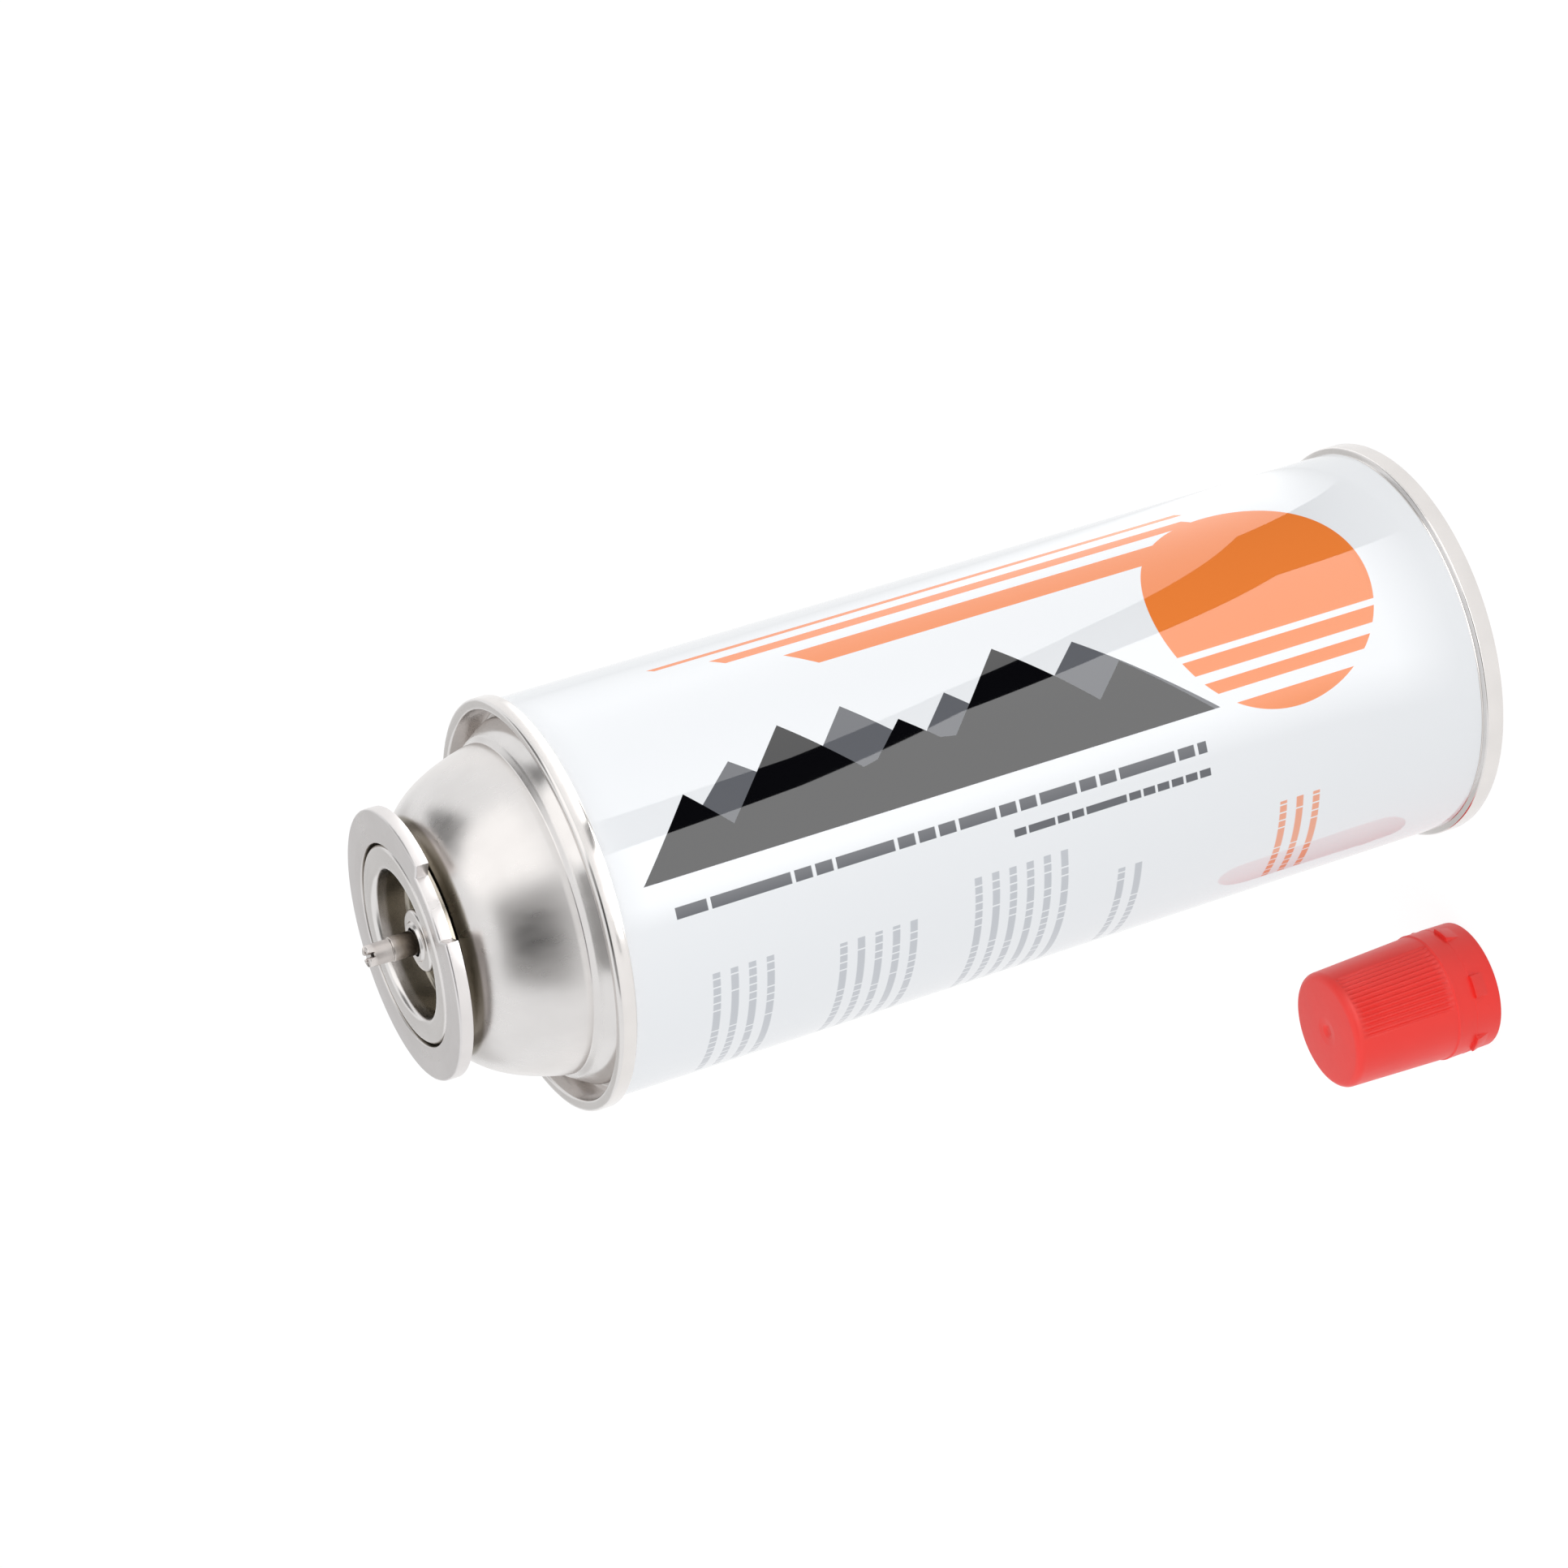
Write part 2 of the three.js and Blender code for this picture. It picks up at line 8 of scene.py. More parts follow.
import bpy
import numpy as np
from bpy.props import FloatProperty, FloatVectorProperty, IntProperty, PointerProperty
from mathutils import Matrix, Vector


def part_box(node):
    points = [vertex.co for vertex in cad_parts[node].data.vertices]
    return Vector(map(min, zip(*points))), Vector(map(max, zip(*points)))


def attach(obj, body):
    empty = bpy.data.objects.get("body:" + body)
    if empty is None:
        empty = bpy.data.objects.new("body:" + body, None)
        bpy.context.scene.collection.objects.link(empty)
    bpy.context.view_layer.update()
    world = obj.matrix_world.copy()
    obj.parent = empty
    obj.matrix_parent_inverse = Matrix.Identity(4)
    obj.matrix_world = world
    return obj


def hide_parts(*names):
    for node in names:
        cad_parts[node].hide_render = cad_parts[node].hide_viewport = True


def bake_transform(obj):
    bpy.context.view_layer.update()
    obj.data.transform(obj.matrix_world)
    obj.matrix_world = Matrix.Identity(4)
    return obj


bl_info = {
    "name": "Gas Canister",
    "version": (1, 0, 0),
    "blender": (4, 5, 0),
    "location": "View3D > Sidebar > Canister",
    "description": "Builds a printed steel gas canister with a valve, a notched collar and a loose cap",
    "category": "Object",
}

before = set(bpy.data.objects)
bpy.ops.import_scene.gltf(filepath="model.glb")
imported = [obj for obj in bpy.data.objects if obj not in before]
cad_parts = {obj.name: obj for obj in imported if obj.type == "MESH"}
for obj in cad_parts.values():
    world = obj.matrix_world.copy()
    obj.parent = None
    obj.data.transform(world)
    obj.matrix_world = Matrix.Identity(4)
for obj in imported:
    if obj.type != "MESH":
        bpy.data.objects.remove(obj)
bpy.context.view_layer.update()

MM = 0.001

# Places that the frame gives: the two axes, and the levels of the nodes
can_low, can_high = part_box("can")
cup_low, cup_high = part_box("valve_cup")
collar_low, collar_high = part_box("valve_collar")
stem_low, stem_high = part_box("valve_stem")
cap_low, cap_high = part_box("cap")
CAN_X = (can_low[0] + can_high[0]) / 2
CAP_X = (cap_low[0] + cap_high[0]) / 2
CAP_Y = (cap_low[1] + cap_high[1]) / 2
SEAM_RADIUS = (can_high[0] - can_low[0]) / 2
COLLAR_RADIUS = (collar_high[0] - collar_low[0]) / 2
COLLAR_TOP = collar_high[2]
CUP_RIM_RADIUS = (cup_high[0] - cup_low[0]) / 2
CAP_LUG_RADIUS = (cap_high[1] - cap_low[1]) / 2
CAP_HEIGHT = cap_high[2] - cap_low[2]

# Angles from +X: the side that faces the photograph's camera, where the print has its middle,
# and the collar's notch
FRONT = math.radians(-70)
NOTCH_DIRECTION = math.radians(-77.5)

# Columns round each piece, and points along the dome
CAN_COLUMNS = 256
CUP_COLUMNS = 240
COLLAR_COLUMNS = 720
STEM_COLUMNS = 160
CAP_COLUMNS = 720
DOME_POINTS = 40

CUP_CRIMPS = 6
CAP_LUGS = 6


def length(name, description, default):
    """A length that a user may change, with its default in millimetres."""
    return FloatProperty(
        name=name, description=description, default=default * MM, unit="LENGTH", precision=5
    )


def colour(name, description, default):
    """A colour, with red, green and blue as light values from 0 to 1."""
    return FloatVectorProperty(
        name=name, description=description, default=default, subtype="COLOR", size=3, min=0.0, max=1.0
    )


class CanSettings(bpy.types.PropertyGroup):
    """Sizes of the can's wall, seams and dome."""

    wall_radius: length("Wall radius", "Outside radius of the printed wall", 33.0)
    seam_width: length("Seam width", "Thickness of a rolled seam", 1.8)
    can_height: length("Can height", "Height of the top seam's rim", 160.8)
    top_seam_height: length("Top seam", "Height of the top seam's band", 3.1)
    base_seam_height: length("Base seam", "Height of the base seam's band", 3.6)
    countersink_depth: length("Countersink", "Depth of the groove inside the top seam", 5.4)
    crease_radius: length("Crease radius", "Radius where the dome leaves its shoulder", 27.2)
    dome_height: length("Dome height", "Height of the dome above its crease", 15.3)
    dome_bulge: length("Dome bulge", "Fullness of the dome over a true sphere, most near its top", 0.6)
    seat_radius: length("Seat radius", "Radius of the dome's top, where the collar stands", 17.9)
    base_sink: length("Base sink", "Height of the base panel's edge", 4.6)
    base_rise: length("Base rise", "Height of the base panel's middle over its edge", 5.6)


class PrintSettings(bpy.types.PropertyGroup):
    """Colours of the printed wall."""

    ground: colour("Ground", "White ground of the print", (0.875, 0.89, 0.91))
    orange: colour("Orange", "Orange of the sun and stripes", (0.90, 0.235, 0.045))
    black: colour("Black", "Black of the front ridge", (0.003, 0.003, 0.004))
    grey: colour("Grey", "Grey of the far ridge and the lines", (0.13, 0.135, 0.15))
    pale: colour("Pale", "Pale grey of the small lines", (0.50, 0.52, 0.56))


class ValveSettings(bpy.types.PropertyGroup):
    """Sizes of the valve cup, collar and stem."""

    sheet: length("Sheet", "Thickness of the valve cup's sheet", 0.4)
    cup_mouth: length("Cup mouth", "Inside radius of the valve cup", 12.2)
    lip_height: length("Lip height", "Height of the valve cup's rolled lip", 2.4)
    cup_depth: length("Cup depth", "Depth of the valve cup below its rim", 6.2)
    pedestal_radius: length("Pedestal radius", "Radius of the pedestal round the stem", 5.1)
    pedestal_height: length("Pedestal height", "Height of the pedestal over the cup's floor", 3.9)
    collar_skirt: length("Collar skirt", "Height of the collar's folded edge", 2.3)
    collar_sheet: length("Collar sheet", "Thickness of the collar's sheet", 0.6)
    notch_width: length("Notch width", "Width of the collar's notch", 12.5)
    notch_back: length("Notch back", "Distance of the notch's back wall from the axis", 19.5)
    stem_radius: length("Stem radius", "Radius of the stem below its tip", 2.0)
    tip_radius: length("Tip radius", "Radius of the stem's tip", 1.8)
    tip_length: length("Tip length", "Length of the stem's tip", 4.0)


class CapSettings(bpy.types.PropertyGroup):
    """Sizes and colour of the cap."""

    wall: length("Wall", "Thickness of the cap's wall", 1.2)
    rim_radius: length("Rim radius", "Outside radius at the open rim", 11.0)
    band_radius: length("Band radius", "Outside radius at the top of the plain band", 11.15)
    band_height: length("Band height", "Height of the plain band over the rim", 8.4)
    lug_top: length("Lug top", "Height of the lugs' step over the rim", 4.9)
    lug_width: length("Lug width", "Width of a lug round the band", 3.8)
    body_radius: length("Body radius", "Outside radius of the fluted side over the band", 10.9)
    end_radius: length("End radius", "Outside radius at the closed end", 10.2)
    flutes: IntProperty(name="Flutes", description="Flutes in one panel", default=14, min=2, max=30)
    red: colour("Red", "Red of the plastic", (0.91, 0.032, 0.022))


class StageSettings(bpy.types.PropertyGroup):
    """Camera of the photograph."""

    lens: FloatProperty(
        name="Lens", description="Focal length for a 36 mm sensor", default=113.26, unit="CAMERA"
    )
    distance: length("Distance", "Distance of the camera in front of the canister's axis", 743.24)
    height: length("Height", "Height of the camera over the surface", 397.78)


# Shapes worked out with numpy


def rounded(corners, steps=5, closed=True):
    """A path of [radius, height] points through corners, each given with the radius of its fillet.

    A corner with a fillet is replaced by the arc that touches both of its sides: it starts at
    radius times the tangent of half the turn before the corner, and sweeps through the turn.
    """
    path = []
    count = len(corners)
    for index, (x, z, fillet) in enumerate(corners):
        here = np.array([x, z])
        inner = closed or 0 < index < count - 1
        if fillet <= 0 or not inner:
            path.append(here[None])
            continue
        before = np.array(corners[index - 1][:2]) - here
        after = np.array(corners[(index + 1) % count][:2]) - here
        before /= np.linalg.norm(before)
        after /= np.linalg.norm(after)
        half = math.acos(np.clip(before @ after, -1, 1)) / 2
        reach = fillet / math.tan(half)
        middle = here + (before + after) / np.linalg.norm(before + after) * fillet / math.sin(half)
        start = here + before * reach - middle
        end = here + after * reach - middle
        span = math.pi - 2 * half
        share = np.linspace(0, 1, steps)[:, None]
        swing = start * np.sin((1 - share) * span) + end * np.sin(share * span)
        path.append(middle + swing / math.sin(span))
    return np.concatenate(path)


def arc(centre, radius, low, high, steps):
    """Points on a circle about [radius, height], from one angle to the other."""
    angle = np.linspace(low, high, steps)
    return np.stack([centre[0] + radius * np.cos(angle), centre[1] + radius * np.sin(angle)], axis=-1)


def sharp(points):
    """The same points as corners with no fillet."""
    return [(x, z, 0.0) for x, z in points]


def pairs(*points):
    """Map coordinates of faces, corner by corner, from the two values of each corner."""
    return np.stack([np.stack(np.broadcast_arrays(u, v), -1) for u, v in points], -2).reshape(-1, 2)


def grid_mesh(name, points, columns_u, rows_v, ring):
    """A closed mesh from a grid of points with one row for each profile point.

    Every row closes on itself round the axis. The rows close on themselves when the profile is
    a ring; otherwise the first and last rows are the poles and become single vertices.
    The UV map holds the values given for the columns and rows, in metres.
    """
    rows, columns = points.shape[:2]
    following = np.arange(columns)
    after = (following + 1) % columns
    first = 0 if ring else 1
    last = rows if ring else rows - 2
    kept = points[first:rows - first]
    base = np.arange(kept.shape[0])[:, None] * columns
    lower = np.arange(first, last) - first
    upper = (lower + 1) % kept.shape[0]
    quads = np.stack([
        base[lower] + following, base[lower] + after, base[upper] + after, base[upper] + following,
    ], axis=-1).reshape(-1, 4)
    left, right = columns_u[:-1], columns_u[1:]
    low, high = rows_v[first:last, None], rows_v[first + 1:last + 1, None]
    vertices = kept.reshape(-1, 3)
    faces = quads.tolist()
    uv = [pairs((left, low), (right, low), (right, high), (left, high))]
    if not ring:
        bottom = len(vertices)
        top = bottom + 1
        vertices = np.concatenate([vertices, points[0, :1], points[-1, :1]])
        ceiling = (kept.shape[0] - 1) * columns
        fan_low = np.stack([np.full(columns, bottom), after, following], -1)
        fan_high = np.stack([ceiling + following, ceiling + after, np.full(columns, top)], -1)
        faces += fan_low.tolist() + fan_high.tolist()
        middle = (left + right) / 2
        uv.append(pairs((middle, rows_v[0]), (right, rows_v[1]), (left, rows_v[1])))
        uv.append(pairs((left, rows_v[-2]), (right, rows_v[-2]), (middle, rows_v[-1])))
    mesh = bpy.data.meshes.new(name)
    mesh.from_pydata(vertices.tolist(), [], faces)
    layer = mesh.uv_layers.new(name="surface")
    layer.data.foreach_set("uv", np.concatenate(uv).astype(np.float32).ravel())
    mesh.shade_smooth()
    mesh.set_sharp_from_angle(angle=math.radians(40))
    return mesh


def turned(name, profile, columns, axis=(CAN_X, 0.0), start=FRONT + math.pi, shape=None):
    """A surface of revolution about an upright axis.

    The point in row i and column j lies at the profile's radius and height, turned by an even
    share of a full turn. The optional shape takes the arrays of radius, height and angle and
    gives them back changed, for flutes, lugs, a notch, slots or crimps. The UV map holds the arc
    length at the profile's widest radius, zero opposite the start, and the height.
    """
    ring = profile[0, 0] > 1e-9
    angle = start + 2 * math.pi * np.arange(columns) / columns
    radius = np.repeat(profile[:, :1], columns, axis=1)
    height = np.repeat(profile[:, 1:], columns, axis=1)
    turn = np.broadcast_to(angle, radius.shape)
    if shape is not None:
        radius, height = shape(radius, height, turn)
    points = np.stack([axis[0] + radius * np.cos(turn), axis[1] + radius * np.sin(turn), height], axis=-1)
    widest = profile[:, 0].max()
    columns_u = widest * (2 * math.pi * np.arange(columns + 1) / columns - math.pi)
    rows_v = np.append(profile[:, 1], profile[0, 1])
    return grid_mesh(name, points, columns_u, rows_v if ring else profile[:, 1], ring)


def placed(name, data):
    """A new object in the scene that shows a mesh, a lamp or a camera."""
    item = bpy.data.objects.new(name, data)
    bpy.context.scene.collection.objects.link(item)
    return item


def add_piece(mesh, material, nodes, body="canister"):
    """Puts a mesh into the scene as a piece that rides on a body and stands for its nodes."""
    piece = placed(mesh.name, mesh)
    mesh.materials.append(material)
    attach(piece, body)
    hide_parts(*nodes)


# Materials


class Nodes:
    """A node tree of a material or the world, with short calls for the nodes that the finishes use."""

    def __init__(self, name, owner=None):
        self.material = owner or bpy.data.materials.new(name)
        self.material.use_nodes = True
        self.tree = self.material.node_tree
        self.shader = self.tree.nodes.get("Principled BSDF")

    def add(self, kind, inputs=None, **settings):
        """A node with its settings, and with its inputs set or linked by name or number."""
        node = self.tree.nodes.new(kind)
        for key, value in settings.items():
            setattr(node, key, value)
        for key, value in (inputs or {}).items():
            self.put(node.inputs[key], value)
        return node

    def put(self, socket, value):
        """Sets a socket to a number or colour, or links another socket into it."""
        if isinstance(value, bpy.types.NodeSocket):
            self.tree.links.new(value, socket)
        elif hasattr(value, "__len__") and len(value) == 3 and socket.type == "RGBA":
            socket.default_value = (*value, 1.0)
        else:
            socket.default_value = value

    def math(self, operation, *values):
        return self.add("ShaderNodeMath", dict(enumerate(values)), operation=operation).outputs[0]

    def plus(self, first, second):
        return self.math("ADD", first, second)

    def minus(self, first, second):
        return self.math("SUBTRACT", first, second)

    def times(self, first, second):
        return self.math("MULTIPLY", first, second)

    def most(self, first, second):
        return self.math("MAXIMUM", first, second)

    def axes(self, vector):
        """The three parts of a vector."""
        return self.add("ShaderNodeSeparateXYZ", {0: vector}).outputs

    def edge(self, value, limit, soft):
        """0 below the limit and 1 above it, with a soft step between."""
        step = {"Value": value, "From Min": limit - soft, "From Max": limit + soft}
        return self.add("ShaderNodeMapRange", step, interpolation_type="SMOOTHSTEP").outputs[0]

    def between(self, value, low, high, soft):
        """1 between the limits and 0 outside them."""
        return self.times(self.edge(value, low, soft), self.minus(1.0, self.edge(value, high, soft)))

    def mix(self, share, first, second):
        inputs = {"Factor": share, 6: first, 7: second}
        return self.add("ShaderNodeMix", inputs, data_type="RGBA").outputs[2]

    def range(self, value, low, high, from_low=0.0, from_high=1.0):
        limits = {"From Min": from_low, "From Max": from_high, "To Min": low, "To Max": high}
        return self.add("ShaderNodeMapRange", {"Value": value, **limits}).outputs[0]

    def place(self, location=(0, 0, 0), scale=(1, 1, 1)):
        coordinates = self.add("ShaderNodeTexCoord").outputs["Object"]
        inputs = {"Vector": coordinates, "Location": location, "Scale": scale}
        return self.add("ShaderNodeMapping", inputs).outputs[0]

    def noise(self, vector, scale, detail=2.0):
        inputs = {"Vector": vector, "Scale": scale, "Detail": detail}
        return self.add("ShaderNodeTexNoise", inputs).outputs["Fac"]

    def bump(self, height, distance, strength=1.0):
        inputs = {"Distance": distance, "Strength": strength, "Height": height}
        return self.add("ShaderNodeBump", inputs).outputs[0]

    def surface(self, shader):
        """Puts a shader in the place of the one that a new material starts with."""
        self.tree.nodes.remove(self.shader)
        self.put(self.tree.nodes["Material Output"].inputs["Surface"], shader)
        return self.material

    def finish(self, **values):
        names = {
            "colour": "Base Color", "metallic": "Metallic", "roughness": "Roughness",
            "coat": "Coat Weight", "coat_roughness": "Coat Roughness", "normal": "Normal",
            "subsurface": "Subsurface Weight", "subsurface_scale": "Subsurface Scale",
            "specular": "Specular IOR Level",
        }
        for key, value in values.items():
            self.put(self.shader.inputs[names[key]], value)
        return self.material


# Colours of the metals: a brown painted as shade in recesses, the can's bare sheet, and the stem
# # with painted shade at its foot and halfway up, and bright at its tip
RECESS_SHADE = (0.36, 0.33, 0.28)
BARE_SHEET = (0.60, 0.58, 0.56)
# Painted shade on the stem: near black at its foot and brown halfway up, where it stands in the cup
STEM_FOOT_SHADE = (0.05, 0.04, 0.03)
STEM_MIDDLE_SHADE = (0.34, 0.29, 0.24)
STEM_BRIGHT = (0.70, 0.655, 0.63)


def tinplate(name, base=(0.78, 0.75, 0.73), roughness=0.27, seam_top=0.0, shade_ring=None):
    """Bright tin-coated steel: a little unevenness, and faint streaks from drawing.

    Below the height of a rolled seam's top the metal is burnished by the rollers. The shade ring
    is a zone between two radii and two heights whose colour is darkened to brown as painted shade.
    """
    nodes = Nodes(name)
    here = nodes.place(location=(-CAN_X, 0, 0))
    waves = nodes.noise(here, 70.0, 1.0)
    cloud = nodes.noise(here, 130.0, 3.0)
    drawn = nodes.place(location=(-CAN_X, 0, 0), scale=(1.0, 1.0, 0.06))
    streaks = nodes.noise(drawn, 600.0, 1.0)
    dull = nodes.plus(nodes.range(cloud, -0.05, 0.05), nodes.range(streaks, -0.04, 0.04))
    surface = nodes.plus(nodes.times(waves, 12.0), nodes.times(streaks, 0.4))
    tint = nodes.mix(nodes.range(cloud, 0.0, 1.0, 0.3, 0.7), base, tuple(0.94 * c for c in base))
    rough = nodes.plus(roughness, dull)
    x, y, z = nodes.axes(here)
    if shade_ring:
        inner, outer, low, high = shade_ring
        squares = nodes.plus(nodes.times(x, x), nodes.times(y, y))
        ring = nodes.between(nodes.math("SQRT", squares), inner, outer, 0.3 * MM)
        shade_zone = nodes.times(ring, nodes.between(z, low, high, 0.4 * MM))
        # Painted shade: inside the zone the metal's colour is darkened to brown, standing in for the
        # shade in a recess
        tint = nodes.mix(shade_zone, tint, RECESS_SHADE)
    if seam_top > 0:
        seam = nodes.minus(1.0, nodes.edge(z, seam_top, 0.6 * MM))
        rough = nodes.minus(rough, nodes.times(0.11, seam))
    grain = nodes.bump(surface, 0.002 * MM, 1.0)
    return nodes.finish(colour=tint, metallic=1.0, roughness=rough, normal=grain)


def stem_metal():
    """The stem's metal: bright at the tip, and darker and browner towards its foot with painted shade."""
    nodes = Nodes("stem_metal")
    here = nodes.place(location=(-CAN_X, 0, 0))
    cloud = nodes.noise(here, 900.0, 2.0)
    level = nodes.plus(nodes.axes(here)[2], nodes.range(cloud, -0.5 * MM, 0.5 * MM))
    # Painted shade: the foot is near black and the middle brown, standing in for the cup's dark inside
    foot = nodes.edge(level, stem_high[2] - 6.6 * MM, 1.6 * MM)
    foot_shade_tint = nodes.mix(foot, STEM_FOOT_SHADE, STEM_MIDDLE_SHADE)
    tint = nodes.mix(nodes.edge(level, stem_high[2] - 4.4 * MM, 1.5 * MM), foot_shade_tint, STEM_BRIGHT)
    grain = nodes.bump(nodes.noise(here, 3000.0), 0.002 * MM, 0.6)
    return nodes.finish(colour=tint, metallic=1.0, roughness=0.24, normal=grain)


def plain_finish(name, base, roughness, metallic=0.0):
    """A hidden piece's finish: one colour that varies a little, with a faint grain."""
    nodes = Nodes(name)
    here = nodes.place()
    cloud = nodes.noise(here, 260.0, 2.0)
    tint = nodes.mix(cloud, base, tuple(0.85 * c for c in base))
    return nodes.finish(
        colour=tint, metallic=metallic, roughness=nodes.range(cloud, roughness - 0.05, roughness + 0.05),
        normal=nodes.bump(nodes.noise(here, 3000.0), 0.01 * MM, 0.4),
    )


# Print of the wall, in millimetres: along runs down the can from its nozzle end, across runs
# round it with zero at the front and grows towards +X

# Foot of the ridge across, and its peaks: place along, height and half width
RIDGE_FOOT = -14.0
NEAR_PEAKS = (
    (19.0, 12.0, 11.0),
    (38.0, 18.5, 18.0),
    (57.0, 13.5, 15.0),
    (77.0, 20.5, 20.0),
    (96.0, 12.0, 13.0),
    (58.0, 9.5, 50.0),
)
FAR_PEAKS = ((28.0, 15.0, 18.0), (49.0, 18.5, 18.0), (66.0, 15.5, 16.0), (90.0, 17.5, 20.0))

# Sun: place along and across, and radius. Its cuts: place across from its middle, and width
SUN = (124.0, 2.0, 19.5)
SUN_CUTS = ((-7.0, 1.1), (-11.0, 1.6), (-15.0, 2.2))

# Stripes and lines of small print: place across, width, and their two ends along. The words are
# the lengths of the lines' dashes
STRIPES = ((16.0, 4.2, 48.0, 122.0), (21.6, 2.0, 36.0, 122.0), (25.2, 1.0, 26.0, 122.0))
TITLE_LINE = (-19.4, 1.9, 12.0, 106.0)
SUB_LINE = (-23.6, 1.3, 70.0, 106.0)
TITLE_WORD = 3.6
SUB_WORD = 2.6

# Blocks of small print: first place along, number of lines, and their two ends across. The pitch
# is the distance between lines
TEXT_BLOCKS = (
    (16.0, 4, -58.0, -31.0),
    (38.0, 5, -60.0, -33.0),
    (62.0, 6, -62.0, -29.0),
    (88.0, 2, -58.0, -36.0),
)
ORANGE_BLOCK = (118.0, 3, -52.0, -33.0)
TEXT_PITCH = 3.1
TEXT_WORD = 1.6

# Bare metal: at the two ends of the print, and half the width of the strip along the weld
PRINT_MARGINS = (3.35, 3.85)
WELD_HALF = 1.6

# Width over which the print's edges soften
PRINT_SOFT = 0.06


def printed_material(colours, wall_radius, can_height):
    """The lacquered print: a ridge of peaks, a striped sun, three stripes and lines of small print.

    The peaks are tents: each is its height times one minus the distance from its top over its
    half width, and the ridge is the highest of them. Small print is bars cut into words: each
    bar is a row of equal cells, and some of the gaps between cells are left open.
    """
    nodes = Nodes("printed_lacquer")
    round_wall, level, _ = nodes.axes(nodes.add("ShaderNodeTexCoord").outputs["UV"])
    across = nodes.times(round_wall, 1000.0)
    along = nodes.minus(can_height * 1000.0, nodes.times(level, 1000.0))
    soft = PRINT_SOFT

    def ridge(peaks):
        top = -1.0
        for place, height, half in peaks:
            far = nodes.math("ABSOLUTE", nodes.minus(along, place))
            tent = nodes.minus(1.0, nodes.math("DIVIDE", far, half))
            top = nodes.most(top, nodes.times(tent, height))
        rise = nodes.minus(top, nodes.minus(across, RIDGE_FOOT))
        return nodes.times(nodes.edge(rise, 0.0, soft), nodes.edge(across, RIDGE_FOOT, soft))

    def words(value, lane, pitch):
        """1 where a bar shows, and 0 in the open gaps at the ends of its cells."""
        cells = nodes.math("DIVIDE", value, pitch)
        cell = nodes.math("FLOOR", cells)
        gap = nodes.edge(nodes.minus(cells, cell), 0.82, 0.03)
        pair = nodes.add("ShaderNodeCombineXYZ", {0: cell, 1: lane}).outputs[0]
        chance = nodes.add("ShaderNodeTexWhiteNoise", {"Vector": pair}, noise_dimensions="2D")
        open_gap = nodes.math("GREATER_THAN", chance.outputs["Value"], 0.4)
        return nodes.minus(1.0, nodes.times(gap, open_gap))

    def block(first, lines, low, high):
        """Lines of small print that run across, one below another along the can."""
        local = nodes.minus(along, first)
        lane = nodes.math("FLOOR", nodes.math("DIVIDE", local, TEXT_PITCH))
        inside = nodes.minus(local, nodes.times(lane, TEXT_PITCH))
        bars = nodes.between(inside, 0.4, 1.7, 0.12)
        field = nodes.between(local, 0.0, lines * TEXT_PITCH, 0.05)
        field = nodes.times(field, nodes.between(across, low, high, soft))
        bars = nodes.times(bars, words(across, nodes.times(lane, 7.3), TEXT_WORD))
        return nodes.times(bars, field)

    def line(middle, width, first, last, pitch):
        """One line of print that runs along the can."""
        band = nodes.between(across, middle - width / 2, middle + width / 2, soft)
        field = nodes.times(band, nodes.between(along, first, last, soft))
        return nodes.times(field, words(along, middle, pitch))

    sun_x = nodes.minus(along, SUN[0])
    sun_y = nodes.minus(across, SUN[1])
    squares = nodes.plus(nodes.times(sun_x, sun_x), nodes.times(sun_y, sun_y))
    sun = nodes.minus(1.0, nodes.edge(nodes.math("SQRT", squares), SUN[2], soft))
    for middle, width in SUN_CUTS:
        cut = nodes.between(sun_y, middle - width / 2, middle + width / 2, soft)
        sun = nodes.times(sun, nodes.minus(1.0, cut))
    stripes = 0.0
    for middle, width, first, last in STRIPES:
        band = nodes.between(across, middle - width / 2, middle + width / 2, soft)
        slant = nodes.plus(along, nodes.minus(across, middle))
        stripe = nodes.times(band, nodes.between(slant, first, last, soft))
        stripes = nodes.most(stripes, stripe)
    small = 0.0
    for first, lines, low, high in TEXT_BLOCKS:
        small = nodes.most(small, block(first, lines, low, high))
    titles = nodes.most(line(*TITLE_LINE, TITLE_WORD), line(*SUB_LINE, SUB_WORD))

    shaded = tuple(0.985 * c for c in colours.ground)
    ground = nodes.mix(nodes.noise(nodes.place(), 30.0), colours.ground, shaded)
    tone = nodes.mix(nodes.times(small, 0.8), ground, colours.pale)
    tone = nodes.mix(nodes.most(sun, stripes), tone, colours.orange)
    tone = nodes.mix(nodes.times(block(*ORANGE_BLOCK), 0.75), tone, colours.orange)
    tone = nodes.mix(ridge(FAR_PEAKS), tone, colours.grey)
    tone = nodes.mix(ridge(NEAR_PEAKS), tone, colours.black)
    tone = nodes.mix(titles, tone, colours.grey)
    half_turn = math.pi * wall_radius * 1000.0
    weld = nodes.edge(nodes.math("ABSOLUTE", across), half_turn - WELD_HALF, 0.08)
    top_margin = nodes.edge(nodes.times(along, -1.0), -PRINT_MARGINS[0], soft)
    low_margin = nodes.edge(along, can_height * 1000.0 - PRINT_MARGINS[1], soft)
    bare = nodes.most(weld, nodes.most(top_margin, low_margin))
    tone = nodes.mix(bare, tone, BARE_SHEET)
    orange_peel = nodes.noise(nodes.place(), 420.0, 2.0)
    return nodes.finish(
        colour=tone, metallic=bare, roughness=0.34, specular=0.0, coat=1.0, coat_roughness=0.03,
        normal=nodes.bump(orange_peel, 0.01 * MM, 0.25),
    )


